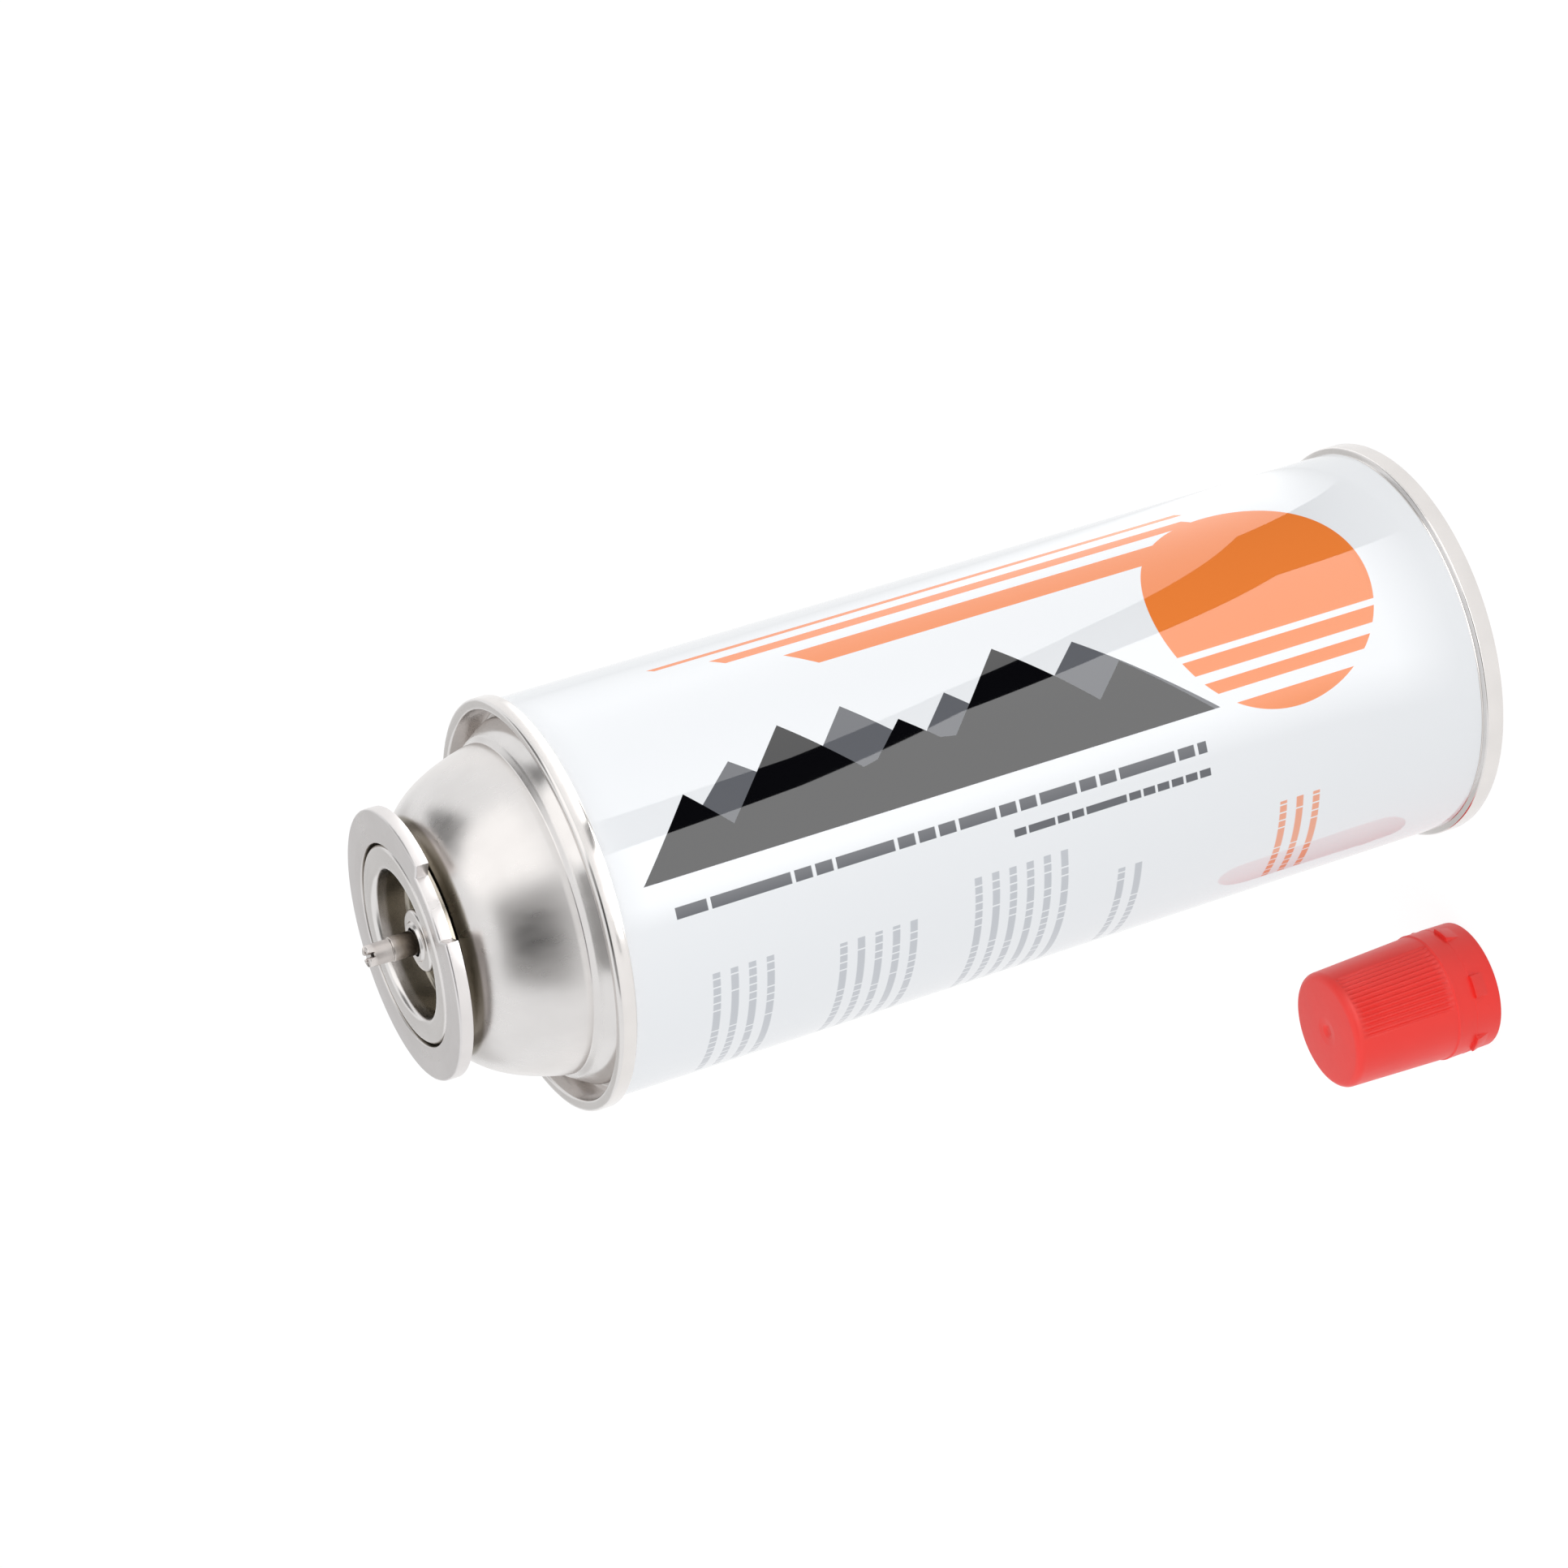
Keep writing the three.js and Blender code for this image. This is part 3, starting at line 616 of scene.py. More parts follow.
def red_plastic(base):
    """Moulded polyethylene: a soft sheen, light that sinks in a little, and a fine grain."""
    nodes = Nodes("cap_plastic")
    here = nodes.place(location=(-CAP_X, -CAP_Y, 0))
    cloud = nodes.noise(here, 180.0, 3.0)
    drawn = nodes.place(location=(-CAP_X, -CAP_Y, 0), scale=(1, 1, 0.15))
    flow = nodes.noise(drawn, 900.0, 2.0)
    tint = nodes.mix(cloud, base, tuple(0.93 * c for c in base))
    return nodes.finish(
        colour=tint, roughness=nodes.range(flow, 0.36, 0.46), subsurface=0.15, subsurface_scale=1.2 * MM,
        specular=0.6, normal=nodes.bump(nodes.noise(here, 2600.0, 2.0), 0.003 * MM, 0.6),
    )


# Operators, one for each piece or group of like pieces


class CANISTER_OT_wall(bpy.types.Operator):
    """Build the printed wall between the seams"""

    bl_idname = "canister.wall"
    bl_label = "Printed wall"

    def execute(self, context):
        can = context.scene.canister_can
        low = can.base_seam_height - 0.4 * MM
        high = can.can_height - can.top_seam_height + 0.4 * MM
        outer = can.wall_radius
        inner = outer - 0.3 * MM
        levels = np.linspace(low, high, 9)
        outside = np.stack([np.full_like(levels, outer), levels], axis=-1)
        inside = np.array([[inner, high], [inner, low]])
        mesh = turned("printed_wall", np.concatenate([outside, inside]), CAN_COLUMNS)
        material = printed_material(context.scene.canister_print, outer, can.can_height)
        add_piece(mesh, material, ["can"])
        return {"FINISHED"}


class CANISTER_OT_top(bpy.types.Operator):
    """Build the domed end with its rolled seam, groove, shoulder and curl"""

    bl_idname = "canister.top"
    bl_label = "Domed end"

    def execute(self, context):
        can = context.scene.canister_can
        seam_inner = SEAM_RADIUS - can.seam_width
        chuck = seam_inner - 0.6 * MM
        groove_z = can.can_height - can.countersink_depth
        shoulder_rise = 7.45 * MM
        foot_z = groove_z + shoulder_rise
        top_z = foot_z + can.dome_height
        rim_squares = can.seat_radius ** 2 + top_z ** 2
        foot_squares = can.crease_radius ** 2 + foot_z ** 2
        centre_z = (rim_squares - foot_squares) / (2 * can.dome_height)
        sphere = math.hypot(can.crease_radius, foot_z - centre_z)
        low_turn = math.atan2(foot_z - centre_z, can.crease_radius)
        high_turn = math.atan2(top_z - centre_z, can.seat_radius)
        bulge = can.dome_bulge * np.sin(math.pi * np.linspace(0, 1, DOME_POINTS) ** 1.8)
        dome = arc((0.0, centre_z), sphere + bulge, low_turn, high_turn, DOME_POINTS)
        curl_top = can_high[2]
        curl = CUP_RIM_RADIUS - 0.7 * MM
        seat_z = top_z + 0.4 * MM
        well = 12.9 * MM
        inner_dome = arc((0.0, centre_z), sphere - 0.35 * MM, high_turn, low_turn, 12)
        seam_low = can.can_height - can.top_seam_height
        corners = [
            (SEAM_RADIUS - 0.98 * MM, seam_low, 0.0),
            (SEAM_RADIUS, seam_low + 0.25 * MM, 0.3 * MM),
            (SEAM_RADIUS, can.can_height, 0.75 * MM),
            (seam_inner, can.can_height, 0.7 * MM),
            (chuck, groove_z, 0.5 * MM),
            (chuck - 1.1 * MM, groove_z, 0.5 * MM),
            (chuck - 1.35 * MM, groove_z + 2.6 * MM, 2.0 * MM),
            (can.crease_radius + 0.9 * MM, foot_z - 1.5 * MM, 1.4 * MM),
            (can.crease_radius + 0.05 * MM, foot_z - 0.85 * MM, 0.35 * MM),
            *sharp(dome),
            (can.seat_radius - 0.4 * MM, seat_z, 0.3 * MM),
            (curl, seat_z, 0.2 * MM),
            (curl, curl_top, 0.5 * MM),
            (well, curl_top, 0.5 * MM),
            (well, seat_z - 0.8 * MM, 0.1 * MM),
            *sharp(inner_dome),
            (can.crease_radius, groove_z - 0.3 * MM, 0.1 * MM),
            (SEAM_RADIUS - 1.3 * MM, groove_z - 0.3 * MM, 0.1 * MM),
        ]
        mesh = turned("domed_end", rounded(corners), CAN_COLUMNS)
        # Painted shade: the dome's neck under the collar, inside the seat, is darkened to brown
        neck_shade = (0.0, can.seat_radius + 1.7 * MM, top_z - 2.2 * MM, 2 * top_z)
        metal = tinplate("dome_tinplate", roughness=0.29, seam_top=can.can_height, shade_ring=neck_shade)
        add_piece(mesh, metal, ["can"])
        return {"FINISHED"}


class CANISTER_OT_base(bpy.types.Operator):
    """Build the pressed base with its rolled seam"""

    bl_idname = "canister.base"
    bl_label = "Base end"

    def execute(self, context):
        can = context.scene.canister_can
        seam_inner = SEAM_RADIUS - can.seam_width
        panel = seam_inner - 1.2 * MM
        share = np.linspace(0, 1, 14)[:-1]
        rise = can.base_sink + can.base_rise * (1 - share ** 2)
        under = np.stack([panel * share, rise], axis=-1)
        above = np.stack([panel * share, rise + 0.35 * MM], axis=-1)[::-1]
        corners = [
            *sharp(under),
            (panel, can.base_sink, 0.5 * MM),
            (seam_inner, 0.0, 0.6 * MM),
            (SEAM_RADIUS, 0.0, 0.65 * MM),
            (SEAM_RADIUS, can.base_seam_height - 0.25 * MM, 0.3 * MM),
            (can.wall_radius + 0.02 * MM, can.base_seam_height, 0.0),
            (can.wall_radius - 0.3 * MM, can.base_seam_height + 1.6 * MM, 0.0),
            (panel, can.base_sink + 0.4 * MM, 0.0),
            *sharp(above),
        ]
        mesh = turned("base_end", rounded(corners, closed=False), CAN_COLUMNS)
        metal = tinplate("base_tinplate", seam_top=can.base_seam_height)
        add_piece(mesh, metal, ["can"])
        return {"FINISHED"}


class CANISTER_OT_cup(bpy.types.Operator):
    """Build the valve cup, with its rolled rim and crimped pedestal"""

    bl_idname = "canister.cup"
    bl_label = "Valve cup"

    def execute(self, context):
        valve = context.scene.canister_valve
        sheet = valve.sheet
        top = COLLAR_TOP
        floor = top - valve.cup_depth
        pedestal = valve.pedestal_radius
        pedestal_top = floor + valve.pedestal_height
        hole = valve.stem_radius + 0.35 * MM
        mouth = valve.cup_mouth
        rim = CUP_RIM_RADIUS
        lip = top - valve.lip_height
        corners = [
            (rim, lip, 0.1 * MM),
            (rim, top, 1.1 * MM),
            (mouth, top, 1.1 * MM),
            (mouth, floor, 0.9 * MM),
            (pedestal + 0.25 * MM, floor, 0.8 * MM),
            (pedestal, pedestal_top, 0.7 * MM),
            (hole + 1.0 * MM, pedestal_top, 0.2 * MM),
            (hole + 0.7 * MM, pedestal_top + 0.5 * MM, 0.2 * MM),
            (hole, pedestal_top + 0.5 * MM, 0.15 * MM),
            (hole, pedestal_top - sheet, 0.05 * MM),
            (pedestal - sheet, pedestal_top - sheet, 0.3 * MM),
            (pedestal - sheet + 0.2 * MM, floor - sheet, 0.3 * MM),
            (mouth + sheet, floor - sheet, 0.5 * MM),
            (mouth + sheet, top - sheet, 0.7 * MM),
            (rim - sheet, top - sheet, 0.7 * MM),
            (rim - sheet, lip, 0.1 * MM),
        ]

        crimp_depth = 0.22 * MM
        crimp_height = 0.8 * MM

        def crimped(radius, height, angle):
            """Crimps: the pedestal's side is pushed in by a bell curve of angle and height."""
            beat = np.cos(angle * CUP_CRIMPS + 0.6) * 0.5 + 0.5
            level = np.exp(-(((height - floor - valve.pedestal_height * 0.5) / crimp_height) ** 2))
            on_side = (radius > pedestal - 0.1 * MM) & (radius < pedestal + 0.6 * MM)
            return radius - np.where(on_side, crimp_depth * beat ** 8 * level, 0.0), height

        mesh = turned("valve_cup_shell", rounded(corners, 7), CUP_COLUMNS, shape=crimped)
        # Painted shade: the cup's trough between pedestal and mouth, below its rim, is darkened to brown
        trough_shade = (pedestal + 0.3 * MM, mouth + 0.7 * MM, 0.0, top - 2.4 * MM)
        metal = tinplate("cup_tinplate", roughness=0.24, shade_ring=trough_shade)
        add_piece(mesh, metal, ["valve_cup"])
        return {"FINISHED"}


def notched_radius(angle, inset, valve, corner):
    """The collar's outline as a radius for each angle, moved inwards by an inset.

    Away from the notch it is the outer radius. Across the notch it is the back wall's radius,
    and on the two parallel sides it blends from one to the other with a smooth step.
    """
    turn = (angle - NOTCH_DIRECTION + math.pi) % (2 * math.pi) - math.pi
    outer = COLLAR_RADIUS - inset
    back = valve.notch_back - inset
    side = np.abs(np.sin(turn)) * outer - (valve.notch_width / 2 + inset)
    share = np.clip(side / corner + 0.5, 0, 1)
    share = share * share * (3 - 2 * share)
    share = np.where(np.abs(turn) > math.pi / 2, 1.0, share)
    return back + (outer - back) * share


class CANISTER_OT_collar(bpy.types.Operator):
    """Build the notched collar with its folded skirt"""

    bl_idname = "canister.collar"
    bl_label = "Collar"

    def execute(self, context):
        valve = context.scene.canister_valve
        sheet = valve.collar_sheet
        inner = CUP_RIM_RADIUS + 0.3 * MM
        top = COLLAR_TOP
        skirt = top - valve.collar_skirt
        foot = collar_low[2]
        edge = COLLAR_RADIUS
        corners = [
            (inner, foot, 0.1 * MM),
            (inner + sheet, foot, 0.1 * MM),
            (inner + sheet, top - sheet, 0.2 * MM),
            (edge - sheet, top - sheet, 0.2 * MM),
            (edge - sheet, skirt, 0.15 * MM),
            (edge, skirt, 0.15 * MM),
            (edge, top, 0.4 * MM),
            (inner, top, 0.35 * MM),
        ]

        def notched(radius, height, angle):
            """Points outside the tube move with the outline: each keeps its inset from the edge."""
            inset = edge - radius
            outline = notched_radius(angle, inset, valve, 0.45 * MM)
            return np.where(radius > inner + sheet + 0.45 * MM, outline, radius), height

        start = NOTCH_DIRECTION + math.pi
        mesh = turned("notched_collar", rounded(corners, 7), COLLAR_COLUMNS, start=start, shape=notched)
        # Painted shade: the collar's inside under its top sheet is darkened to brown
        underside_shade = (0.0, valve.notch_back - 0.5 * MM, 0.0, top - 0.3 * MM)
        metal = tinplate("collar_tinplate", (0.76, 0.73, 0.72), 0.3, shade_ring=underside_shade)
        add_piece(mesh, metal, ["valve_collar"])
        return {"FINISHED"}


class CANISTER_OT_stem(bpy.types.Operator):
    """Build the hollow stem with its slotted tip"""

    bl_idname = "canister.stem"
    bl_label = "Valve stem"

    def execute(self, context):
        valve = context.scene.canister_valve
        tip_z = stem_high[2]
        low_z = stem_low[2]
        shoulder = tip_z - valve.tip_length
        spigot = 1.3 * MM
        flange = 2.9 * MM
        flange_z = low_z + 1.2 * MM
        flange_top = flange_z + 1.2 * MM
        bore = 0.9 * MM
        bore_floor = tip_z - 9.0 * MM
        slot_depth = 1.1 * MM
        slot_half = 0.34 * MM
        corners = [
            (0.0, low_z, 0.0),
            (spigot, low_z, 0.1 * MM),
            (spigot, flange_z, 0.1 * MM),
            (flange, flange_z, 0.1 * MM),
            (flange, flange_top, 0.1 * MM),
            (valve.stem_radius, flange_top, 0.1 * MM),
            (valve.stem_radius, shoulder, 0.3 * MM),
            (valve.tip_radius, shoulder, 0.1 * MM),
            (valve.tip_radius, tip_z - 1.4 * MM, 0.0),
            (valve.tip_radius, tip_z, 0.25 * MM),
            (bore, tip_z, 0.12 * MM),
            (bore, tip_z - 1.4 * MM, 0.0),
            (bore, bore_floor, 0.1 * MM),
            (0.0, bore_floor, 0.0),
        ]

        def slotted(radius, height, angle):
            """Four slots: above the slots' floor a point sinks to it where its distance from the
            nearer of the two slot lines is under half the slot's width."""
            near = np.minimum(np.abs(np.sin(angle)), np.abs(np.cos(angle))) * 1.2 * MM
            open_share = np.clip((slot_half - near) / (0.08 * MM), 0, 1)
            depth = np.clip(height - (tip_z - slot_depth), 0, None)
            return radius, height - depth * open_share

        mesh = turned("hollow_stem", rounded(corners, closed=False), STEM_COLUMNS, shape=slotted)
        add_piece(mesh, stem_metal(), ["valve_stem"], "stem")
        return {"FINISHED"}


class CANISTER_OT_cap(bpy.types.Operator):
    """Build the cap, with its fluted panels, plain band, lugs and gate dimple"""

    bl_idname = "canister.cap"
    bl_label = "Cap"

    def execute(self, context):
        cap = context.scene.canister_cap
        top = CAP_HEIGHT
        wall = cap.wall
        end_round = 1.3 * MM
        gate_depth = 0.5 * MM
        taper = (cap.body_radius - cap.end_radius) / (top - end_round - cap.band_height)
        levels = np.linspace(cap.band_height + 0.5 * MM, top - end_round - 0.3 * MM, 30)
        side = np.stack([cap.body_radius - (levels - cap.band_height) * taper, levels], axis=-1)
        below = np.linspace(0.6 * MM, cap.lug_top - 0.02 * MM, 18)
        above = np.linspace(cap.lug_top + 0.02 * MM, cap.band_height - 0.4 * MM, 8)
        flare = (cap.band_radius - cap.rim_radius) / cap.band_height
        lower_band = np.stack([cap.rim_radius + flare * below, below], axis=-1)
        upper_band = np.stack([cap.rim_radius + flare * above - 0.05 * MM, above], axis=-1)
        corners = [
            (0.0, top - wall - 0.2 * MM, 0.0),
            (cap.end_radius - wall, top - wall - 0.2 * MM, 0.6 * MM),
            (cap.rim_radius - wall, 0.0, 0.2 * MM),
            (cap.rim_radius, 0.0, 0.25 * MM),
            *sharp(lower_band),
            *sharp(upper_band),
            (cap.band_radius, cap.band_height, 0.15 * MM),
            (cap.body_radius, cap.band_height + 0.15 * MM, 0.1 * MM),
            *sharp(side),
            (cap.end_radius, top, end_round),
            (2.6 * MM, top, 0.1 * MM),
            (1.3 * MM, top - 0.12 * MM, 0.3 * MM),
            (0.7 * MM, top - gate_depth, 0.2 * MM),
            (0.0, top - gate_depth, 0.0),
        ]
        pitch = math.radians(5.0)
        panel_half = pitch * cap.flutes / 2
        lug_pitch = 2 * math.pi / CAP_LUGS
        lug_rise = 2.3 * MM
        lug_length = 2.6 * MM
        flute_depth = 0.34 * MM

        def moulded(radius, height, angle):
            """Two fluted panels and a ring of lugs on the outside.

            A flute is a raised cosine of the angle, cut to its panel and fading out at both
            ends. A lug is a wedge that climbs from the rim's side to its step over a narrow
            angle, and the step faces the closed end.
            """
            outside = radius > cap.rim_radius - wall + 0.5 * MM - height * taper
            panel = (angle - FRONT + math.pi / 2) % math.pi - math.pi / 2
            groove = 0.5 - 0.5 * np.cos(2 * math.pi * (panel + panel_half) / pitch)
            low = np.clip((height - cap.band_height - 0.6 * MM) / (0.4 * MM), 0, 1)
            high = np.clip((top - end_round - 0.5 * MM - height) / (0.4 * MM), 0, 1)
            flute = flute_depth * groove * low * high * (np.abs(panel) < panel_half)
            lug_turn = angle % lug_pitch - lug_pitch / 2
            inset = cap.lug_width / 2 + 0.08 * MM - np.abs(lug_turn) * radius
            lug_side = np.clip(inset / (0.16 * MM), 0, 1)
            climb = np.clip((height - cap.lug_top + lug_length) / lug_rise, 0, 1) * (height < cap.lug_top)
            lug = np.clip(CAP_LUG_RADIUS - radius, 0, None) * lug_side * climb
            return radius + np.where(outside, lug - flute, 0.0), height

        profile = rounded(corners, 6, closed=False)
        mesh = turned("loose_cap", profile, CAP_COLUMNS, axis=(CAP_X, CAP_Y), start=0.0, shape=moulded)
        add_piece(mesh, red_plastic(cap.red), ["cap"])
        return {"FINISHED"}


class CANISTER_OT_spring(bpy.types.Operator):
    """Fit the return spring from the frame, with a steel finish"""

    bl_idname = "canister.spring"
    bl_label = "Return spring"

    def execute(self, context):
        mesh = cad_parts["valve_spring"].data.copy()
        mesh.materials.clear()
        mesh.materials.append(plain_finish("spring_steel", (0.5, 0.5, 0.52), 0.3, 1.0))
        spring = placed("return_spring", mesh)
        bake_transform(spring)
        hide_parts("valve_spring")
        return {"FINISHED"}


class CANISTER_OT_inner(bpy.types.Operator):
    """Finish the seals and the housing inside the valve"""

    bl_idname = "canister.inner"
    bl_label = "Inner pieces"

    def execute(self, context):
        rubber = plain_finish("seal_rubber", (0.018, 0.018, 0.019), 0.7)
        finishes = {
            "cup_gasket": rubber,
            "stem_gasket": rubber,
            "valve_housing": plain_finish("housing_plastic", (0.72, 0.70, 0.64), 0.5),
        }
        for node, material in finishes.items():
            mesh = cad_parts[node].data
            mesh.materials.clear()
            mesh.materials.append(material)
        return {"FINISHED"}


# Stage


def seen_level(nodes, seen, otherwise):
    """One level for camera, glossy and transmission rays, and another for the light that falls."""
    rays = nodes.add("ShaderNodeLightPath")
    shown = nodes.most(rays.outputs["Is Glossy Ray"], rays.outputs["Is Transmission Ray"])
    direct = nodes.most(rays.outputs["Is Camera Ray"], shown)
    return nodes.range(direct, otherwise, seen)


def white_material(name, glow, bounce, albedo):
    """A surface that looks white, throws back a white table's light and keeps a shadow."""
    nodes = Nodes(name)
    shine = nodes.add("ShaderNodeEmission", {"Strength": seen_level(nodes, glow, bounce)})
    diffuse = nodes.add("ShaderNodeBsdfDiffuse", {"Color": (albedo, albedo, albedo)})
    both = nodes.add("ShaderNodeAddShader", {0: shine.outputs[0], 1: diffuse.outputs[0]})
    return nodes.surface(both.outputs[0])


def card_material(name, strength):
    """A reflection card: an even glow, or black at zero, that fades into the white floor's level."""
    nodes = Nodes(name)
    share = nodes.add("ShaderNodeAttribute", attribute_name="fade").outputs["Fac"]
    glow = nodes.add("ShaderNodeEmission", {"Strength": nodes.range(share, FLOOR_GLOW, strength)})
    return nodes.surface(glow.outputs[0])


def card(name, points, strength, fade):
    """A grid of points as a card that only reflections show, with its share of fade at each point."""
    rows, columns = points.shape[:2]
    corner = (np.arange(rows - 1)[:, None] * columns + np.arange(columns - 1)).ravel()
    faces = np.stack([corner, corner + 1, corner + columns + 1, corner + columns], axis=-1)
    mesh = bpy.data.meshes.new(name)
    mesh.from_pydata(points.reshape(-1, 3).tolist(), [], faces.tolist())
    shares = mesh.attributes.new("fade", "FLOAT", "POINT").data
    shares.foreach_set("value", fade.astype(np.float32).ravel())
    mesh.materials.append(card_material(name, strength))
    sheet = placed(name, mesh)
    for kind in ("camera", "diffuse", "transmission", "volume_scatter", "shadow"):
        setattr(sheet, "visible_" + kind, False)


# Points across a card on the floor, and across and up a card high up
FLOOR_CARD_COLUMNS = 41
SKY_CARD_COLUMNS = 25
SKY_CARD_ROWS = 13


def floor_card(name, rows, strength, soft_low=0.0, soft_high=0.0):
    """A card on the floor: each row has its distance from the axis and the turns of its two ends.

    It fades in over its first row and out over its last, and over a share of its width at the ends.
    """
    distance, low, high = np.array(rows).T
    share = np.linspace(0, 1, FLOOR_CARD_COLUMNS)
    turn = np.radians(low[:, None] + (high - low)[:, None] * share)
    reach = np.repeat(distance[:, None], FLOOR_CARD_COLUMNS, axis=1)
    level = np.full_like(turn, 0.5 * MM)
    points = np.stack([CAN_X + reach * np.cos(turn), reach * np.sin(turn), level], axis=-1)
    width = np.ones(FLOOR_CARD_COLUMNS)
    if soft_low > 0:
        width = width * np.clip(share / soft_low, 0, 1)
    if soft_high > 0:
        width = width * np.clip((1 - share) / soft_high, 0, 1)
    depth = np.ones((len(rows), 1))
    depth[[0, -1]] = 0
    card(name, points, strength, depth * width)


def sky_card(name, low_turn, high_turn, low_rise, high_rise, strength, reach):
    """A patch of a sphere round the valve, between two turns about the axis and two elevations."""
    turn = np.radians(np.linspace(low_turn, high_turn, SKY_CARD_COLUMNS))
    rise = np.radians(np.linspace(low_rise, high_rise, SKY_CARD_ROWS))[:, None]
    points = np.stack([
        CAN_X + reach * np.cos(rise) * np.cos(turn), reach * np.cos(rise) * np.sin(turn),
        COLLAR_TOP + reach * np.sin(rise) + 0 * turn,
    ], axis=-1)
    card(name, points, strength, np.ones(points.shape[:2]))


def soft_light(name, place, target, width, height, watts):
    """A rectangular lamp that looks at a target, and that reflections don't show."""
    light = bpy.data.lights.new(name, "AREA")
    light.shape = "RECTANGLE"
    light.size = width
    light.size_y = height
    light.energy = watts
    lamp = placed(name, light)
    lamp.location = place
    lamp.rotation_euler = (Vector(target) - Vector(place)).to_track_quat("-Z", "Y").to_euler()
    lamp.visible_camera = False
    lamp.visible_glossy = False


# White floor: half its side, its level where it is seen and in reflections, the level of the
# light that it throws back, and how much of the lamps' light it adds
FLOOR_REACH = 6.0
FLOOR_GLOW = 0.9
FLOOR_BOUNCE = 0.42
FLOOR_ALBEDO = 0.16

# White studio round it: its level where it is seen, and the level of its light
STUDIO_SEEN = 1.0
STUDIO_LIGHT = 0.76
STUDIO_TINT = (0.97, 0.985, 1.0, 1.0)

# Edges of the dark gap between the two glows on the floor: distance in metres, and two turns
GAP_EDGES = (
    (0.044, -52.0, -13.0),
    (0.066, -47.0, -13.0),
    (0.093, -44.0, -14.0),
    (0.175, -54.0, -36.0),
    (0.25, -60.0, -46.0),
    (0.35, -72.0, -56.0),
    (0.475, -76.0, -58.0),
    (0.505, -77.0, -58.0),
)

# Outer ends of the two glows, as turns about the can's axis
GLOW_ENDS = (-122.0, 50.0)

# Dark strip farther off on the floor, which the top seam reflects
SEAM_GAP = (
    (0.508, -128.0, -102.0),
    (0.52, -128.0, -102.0),
    (0.59, -126.0, -104.0),
    (0.6, -126.0, -104.0),
)

# Cards high up: name, two turns about the axis, two elevations, level, and distance in metres
SKY_CARDS = (
    ("front_dark", -150.0, -78.0, 5.0, 50.0, 0.36, 0.8),
    ("front_core", -128.0, -94.0, 12.0, 38.0, 0.06, 0.77),
    ("softbox", -72.0, -15.0, 5.0, 65.0, 1.3, 0.8),
    ("side_dark", -10.0, 36.0, 25.0, 54.0, 0.2, 0.8),
    ("back_grey", 60.0, 130.0, 5.0, 45.0, 0.68, 0.8),
)

# Axes of the photograph's camera: its right, and the way from its subject back to it
CAMERA_RIGHT = (-0.2975, -0.3389, -0.8925)
CAMERA_BACK = (-0.0083, -0.9339, 0.3574)


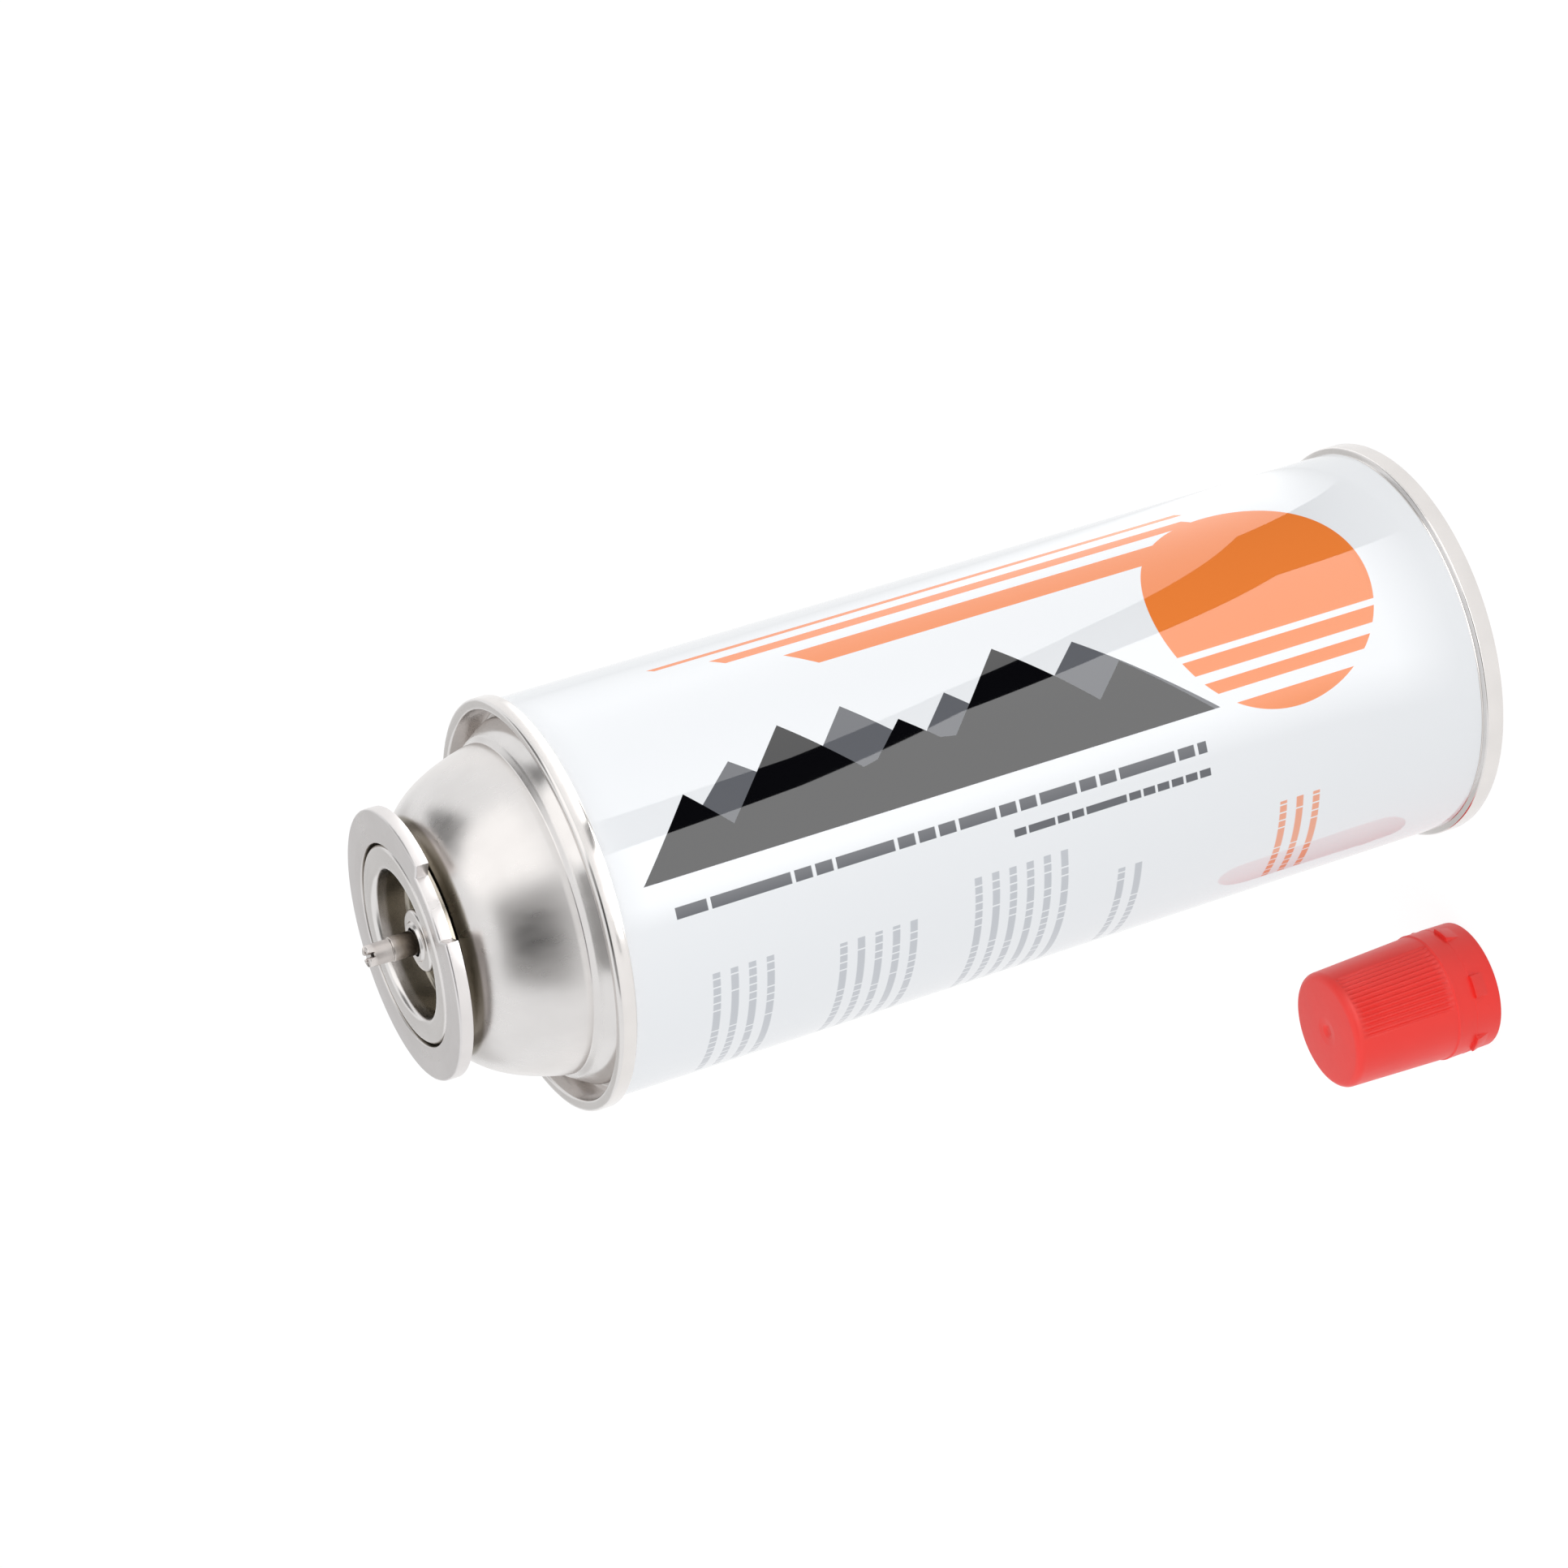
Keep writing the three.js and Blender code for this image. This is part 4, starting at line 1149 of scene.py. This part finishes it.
class CANISTER_OT_stage(bpy.types.Operator):
    """Set up the floor, the light and the camera"""

    bl_idname = "canister.stage"
    bl_label = "Stage"

    def execute(self, context):
        scene = context.scene
        stage = scene.canister_stage
        scene.view_settings.view_transform = "Standard"

        side = FLOOR_REACH
        corners = [(-side, -side, 0), (side, -side, 0), (side, side, 0), (-side, side, 0)]
        mesh = bpy.data.meshes.new("floor")
        mesh.from_pydata(corners, [], [(0, 1, 2, 3)])
        mesh.materials.append(white_material("floor_white", FLOOR_GLOW, FLOOR_BOUNCE, FLOOR_ALBEDO))
        placed("floor", mesh)

        sky = Nodes("studio", bpy.data.worlds.new("studio"))
        scene.world = sky.material
        background = sky.tree.nodes["Background"]
        sky.put(background.inputs["Strength"], seen_level(sky, STUDIO_SEEN, STUDIO_LIGHT))
        background.inputs["Color"].default_value = STUDIO_TINT

        middle = (CAN_X, 0.0, 0.1)
        soft_light("key", (CAN_X + 0.75, -0.55, 0.55), middle, width=0.7, height=0.9, watts=3.6)
        soft_light("fill", (CAN_X - 0.7, -0.7, 0.5), middle, width=0.6, height=0.8, watts=3.2)
        below_gap = [(far, GLOW_ENDS[0], low) for far, low, high in GAP_EDGES]
        above_gap = [(far, high, GLOW_ENDS[1]) for far, low, high in GAP_EDGES]
        floor_card("glow_low", below_gap, 4.4, soft_low=0.3)
        floor_card("gap", GAP_EDGES, 0.0)
        floor_card("glow_high", above_gap, 2.7, soft_high=0.34)
        floor_card("seam_dark", SEAM_GAP, 0.05)
        for values in SKY_CARDS:
            sky_card(*values)

        camera = bpy.data.cameras.new("camera")
        camera.sensor_width = 36.0
        camera.lens = stage.lens
        camera.clip_start = 0.01
        eye = placed("camera", camera)
        right = Vector(CAMERA_RIGHT).normalized()
        back = Vector(CAMERA_BACK).normalized()
        up = back.cross(right).normalized()
        right = up.cross(back)
        matrix = Matrix((right, up, back)).transposed().to_4x4()
        matrix.translation = Vector((CAN_X, -stage.distance, stage.height))
        eye.matrix_world = matrix
        scene.camera = eye
        return {"FINISHED"}


class CANISTER_PT_panel(bpy.types.Panel):
    """Lists the steps that build the canister."""

    bl_idname = "CANISTER_PT_panel"
    bl_label = "Gas Canister"
    bl_space_type = "VIEW_3D"
    bl_region_type = "UI"
    bl_category = "Canister"

    def draw(self, context):
        for operator in OPERATORS:
            self.layout.operator(operator.bl_idname)
        for name in SETTINGS:
            box = self.layout.box()
            group = getattr(context.scene, name)
            for key in group.bl_rna.properties.keys():
                if key not in ("rna_type", "name"):
                    box.prop(group, key)


# Steps in the order in which they run
OPERATORS = (
    CANISTER_OT_stage,
    CANISTER_OT_wall,
    CANISTER_OT_top,
    CANISTER_OT_base,
    CANISTER_OT_cup,
    CANISTER_OT_collar,
    CANISTER_OT_stem,
    CANISTER_OT_cap,
    CANISTER_OT_spring,
    CANISTER_OT_inner,
)

SETTINGS = {
    "canister_can": CanSettings,
    "canister_print": PrintSettings,
    "canister_valve": ValveSettings,
    "canister_cap": CapSettings,
    "canister_stage": StageSettings,
}


def register():
    for name, group in SETTINGS.items():
        bpy.utils.register_class(group)
        setattr(bpy.types.Scene, name, PointerProperty(type=group))
    for operator in OPERATORS:
        bpy.utils.register_class(operator)
    bpy.utils.register_class(CANISTER_PT_panel)


def unregister():
    bpy.utils.unregister_class(CANISTER_PT_panel)
    for operator in reversed(OPERATORS):
        bpy.utils.unregister_class(operator)
    for name, group in SETTINGS.items():
        delattr(bpy.types.Scene, name)
        bpy.utils.unregister_class(group)


def main():
    register()
    for operator in OPERATORS:
        getattr(bpy.ops.canister, operator.bl_idname.split(".")[1])()


if __name__ == "__main__":
    main()
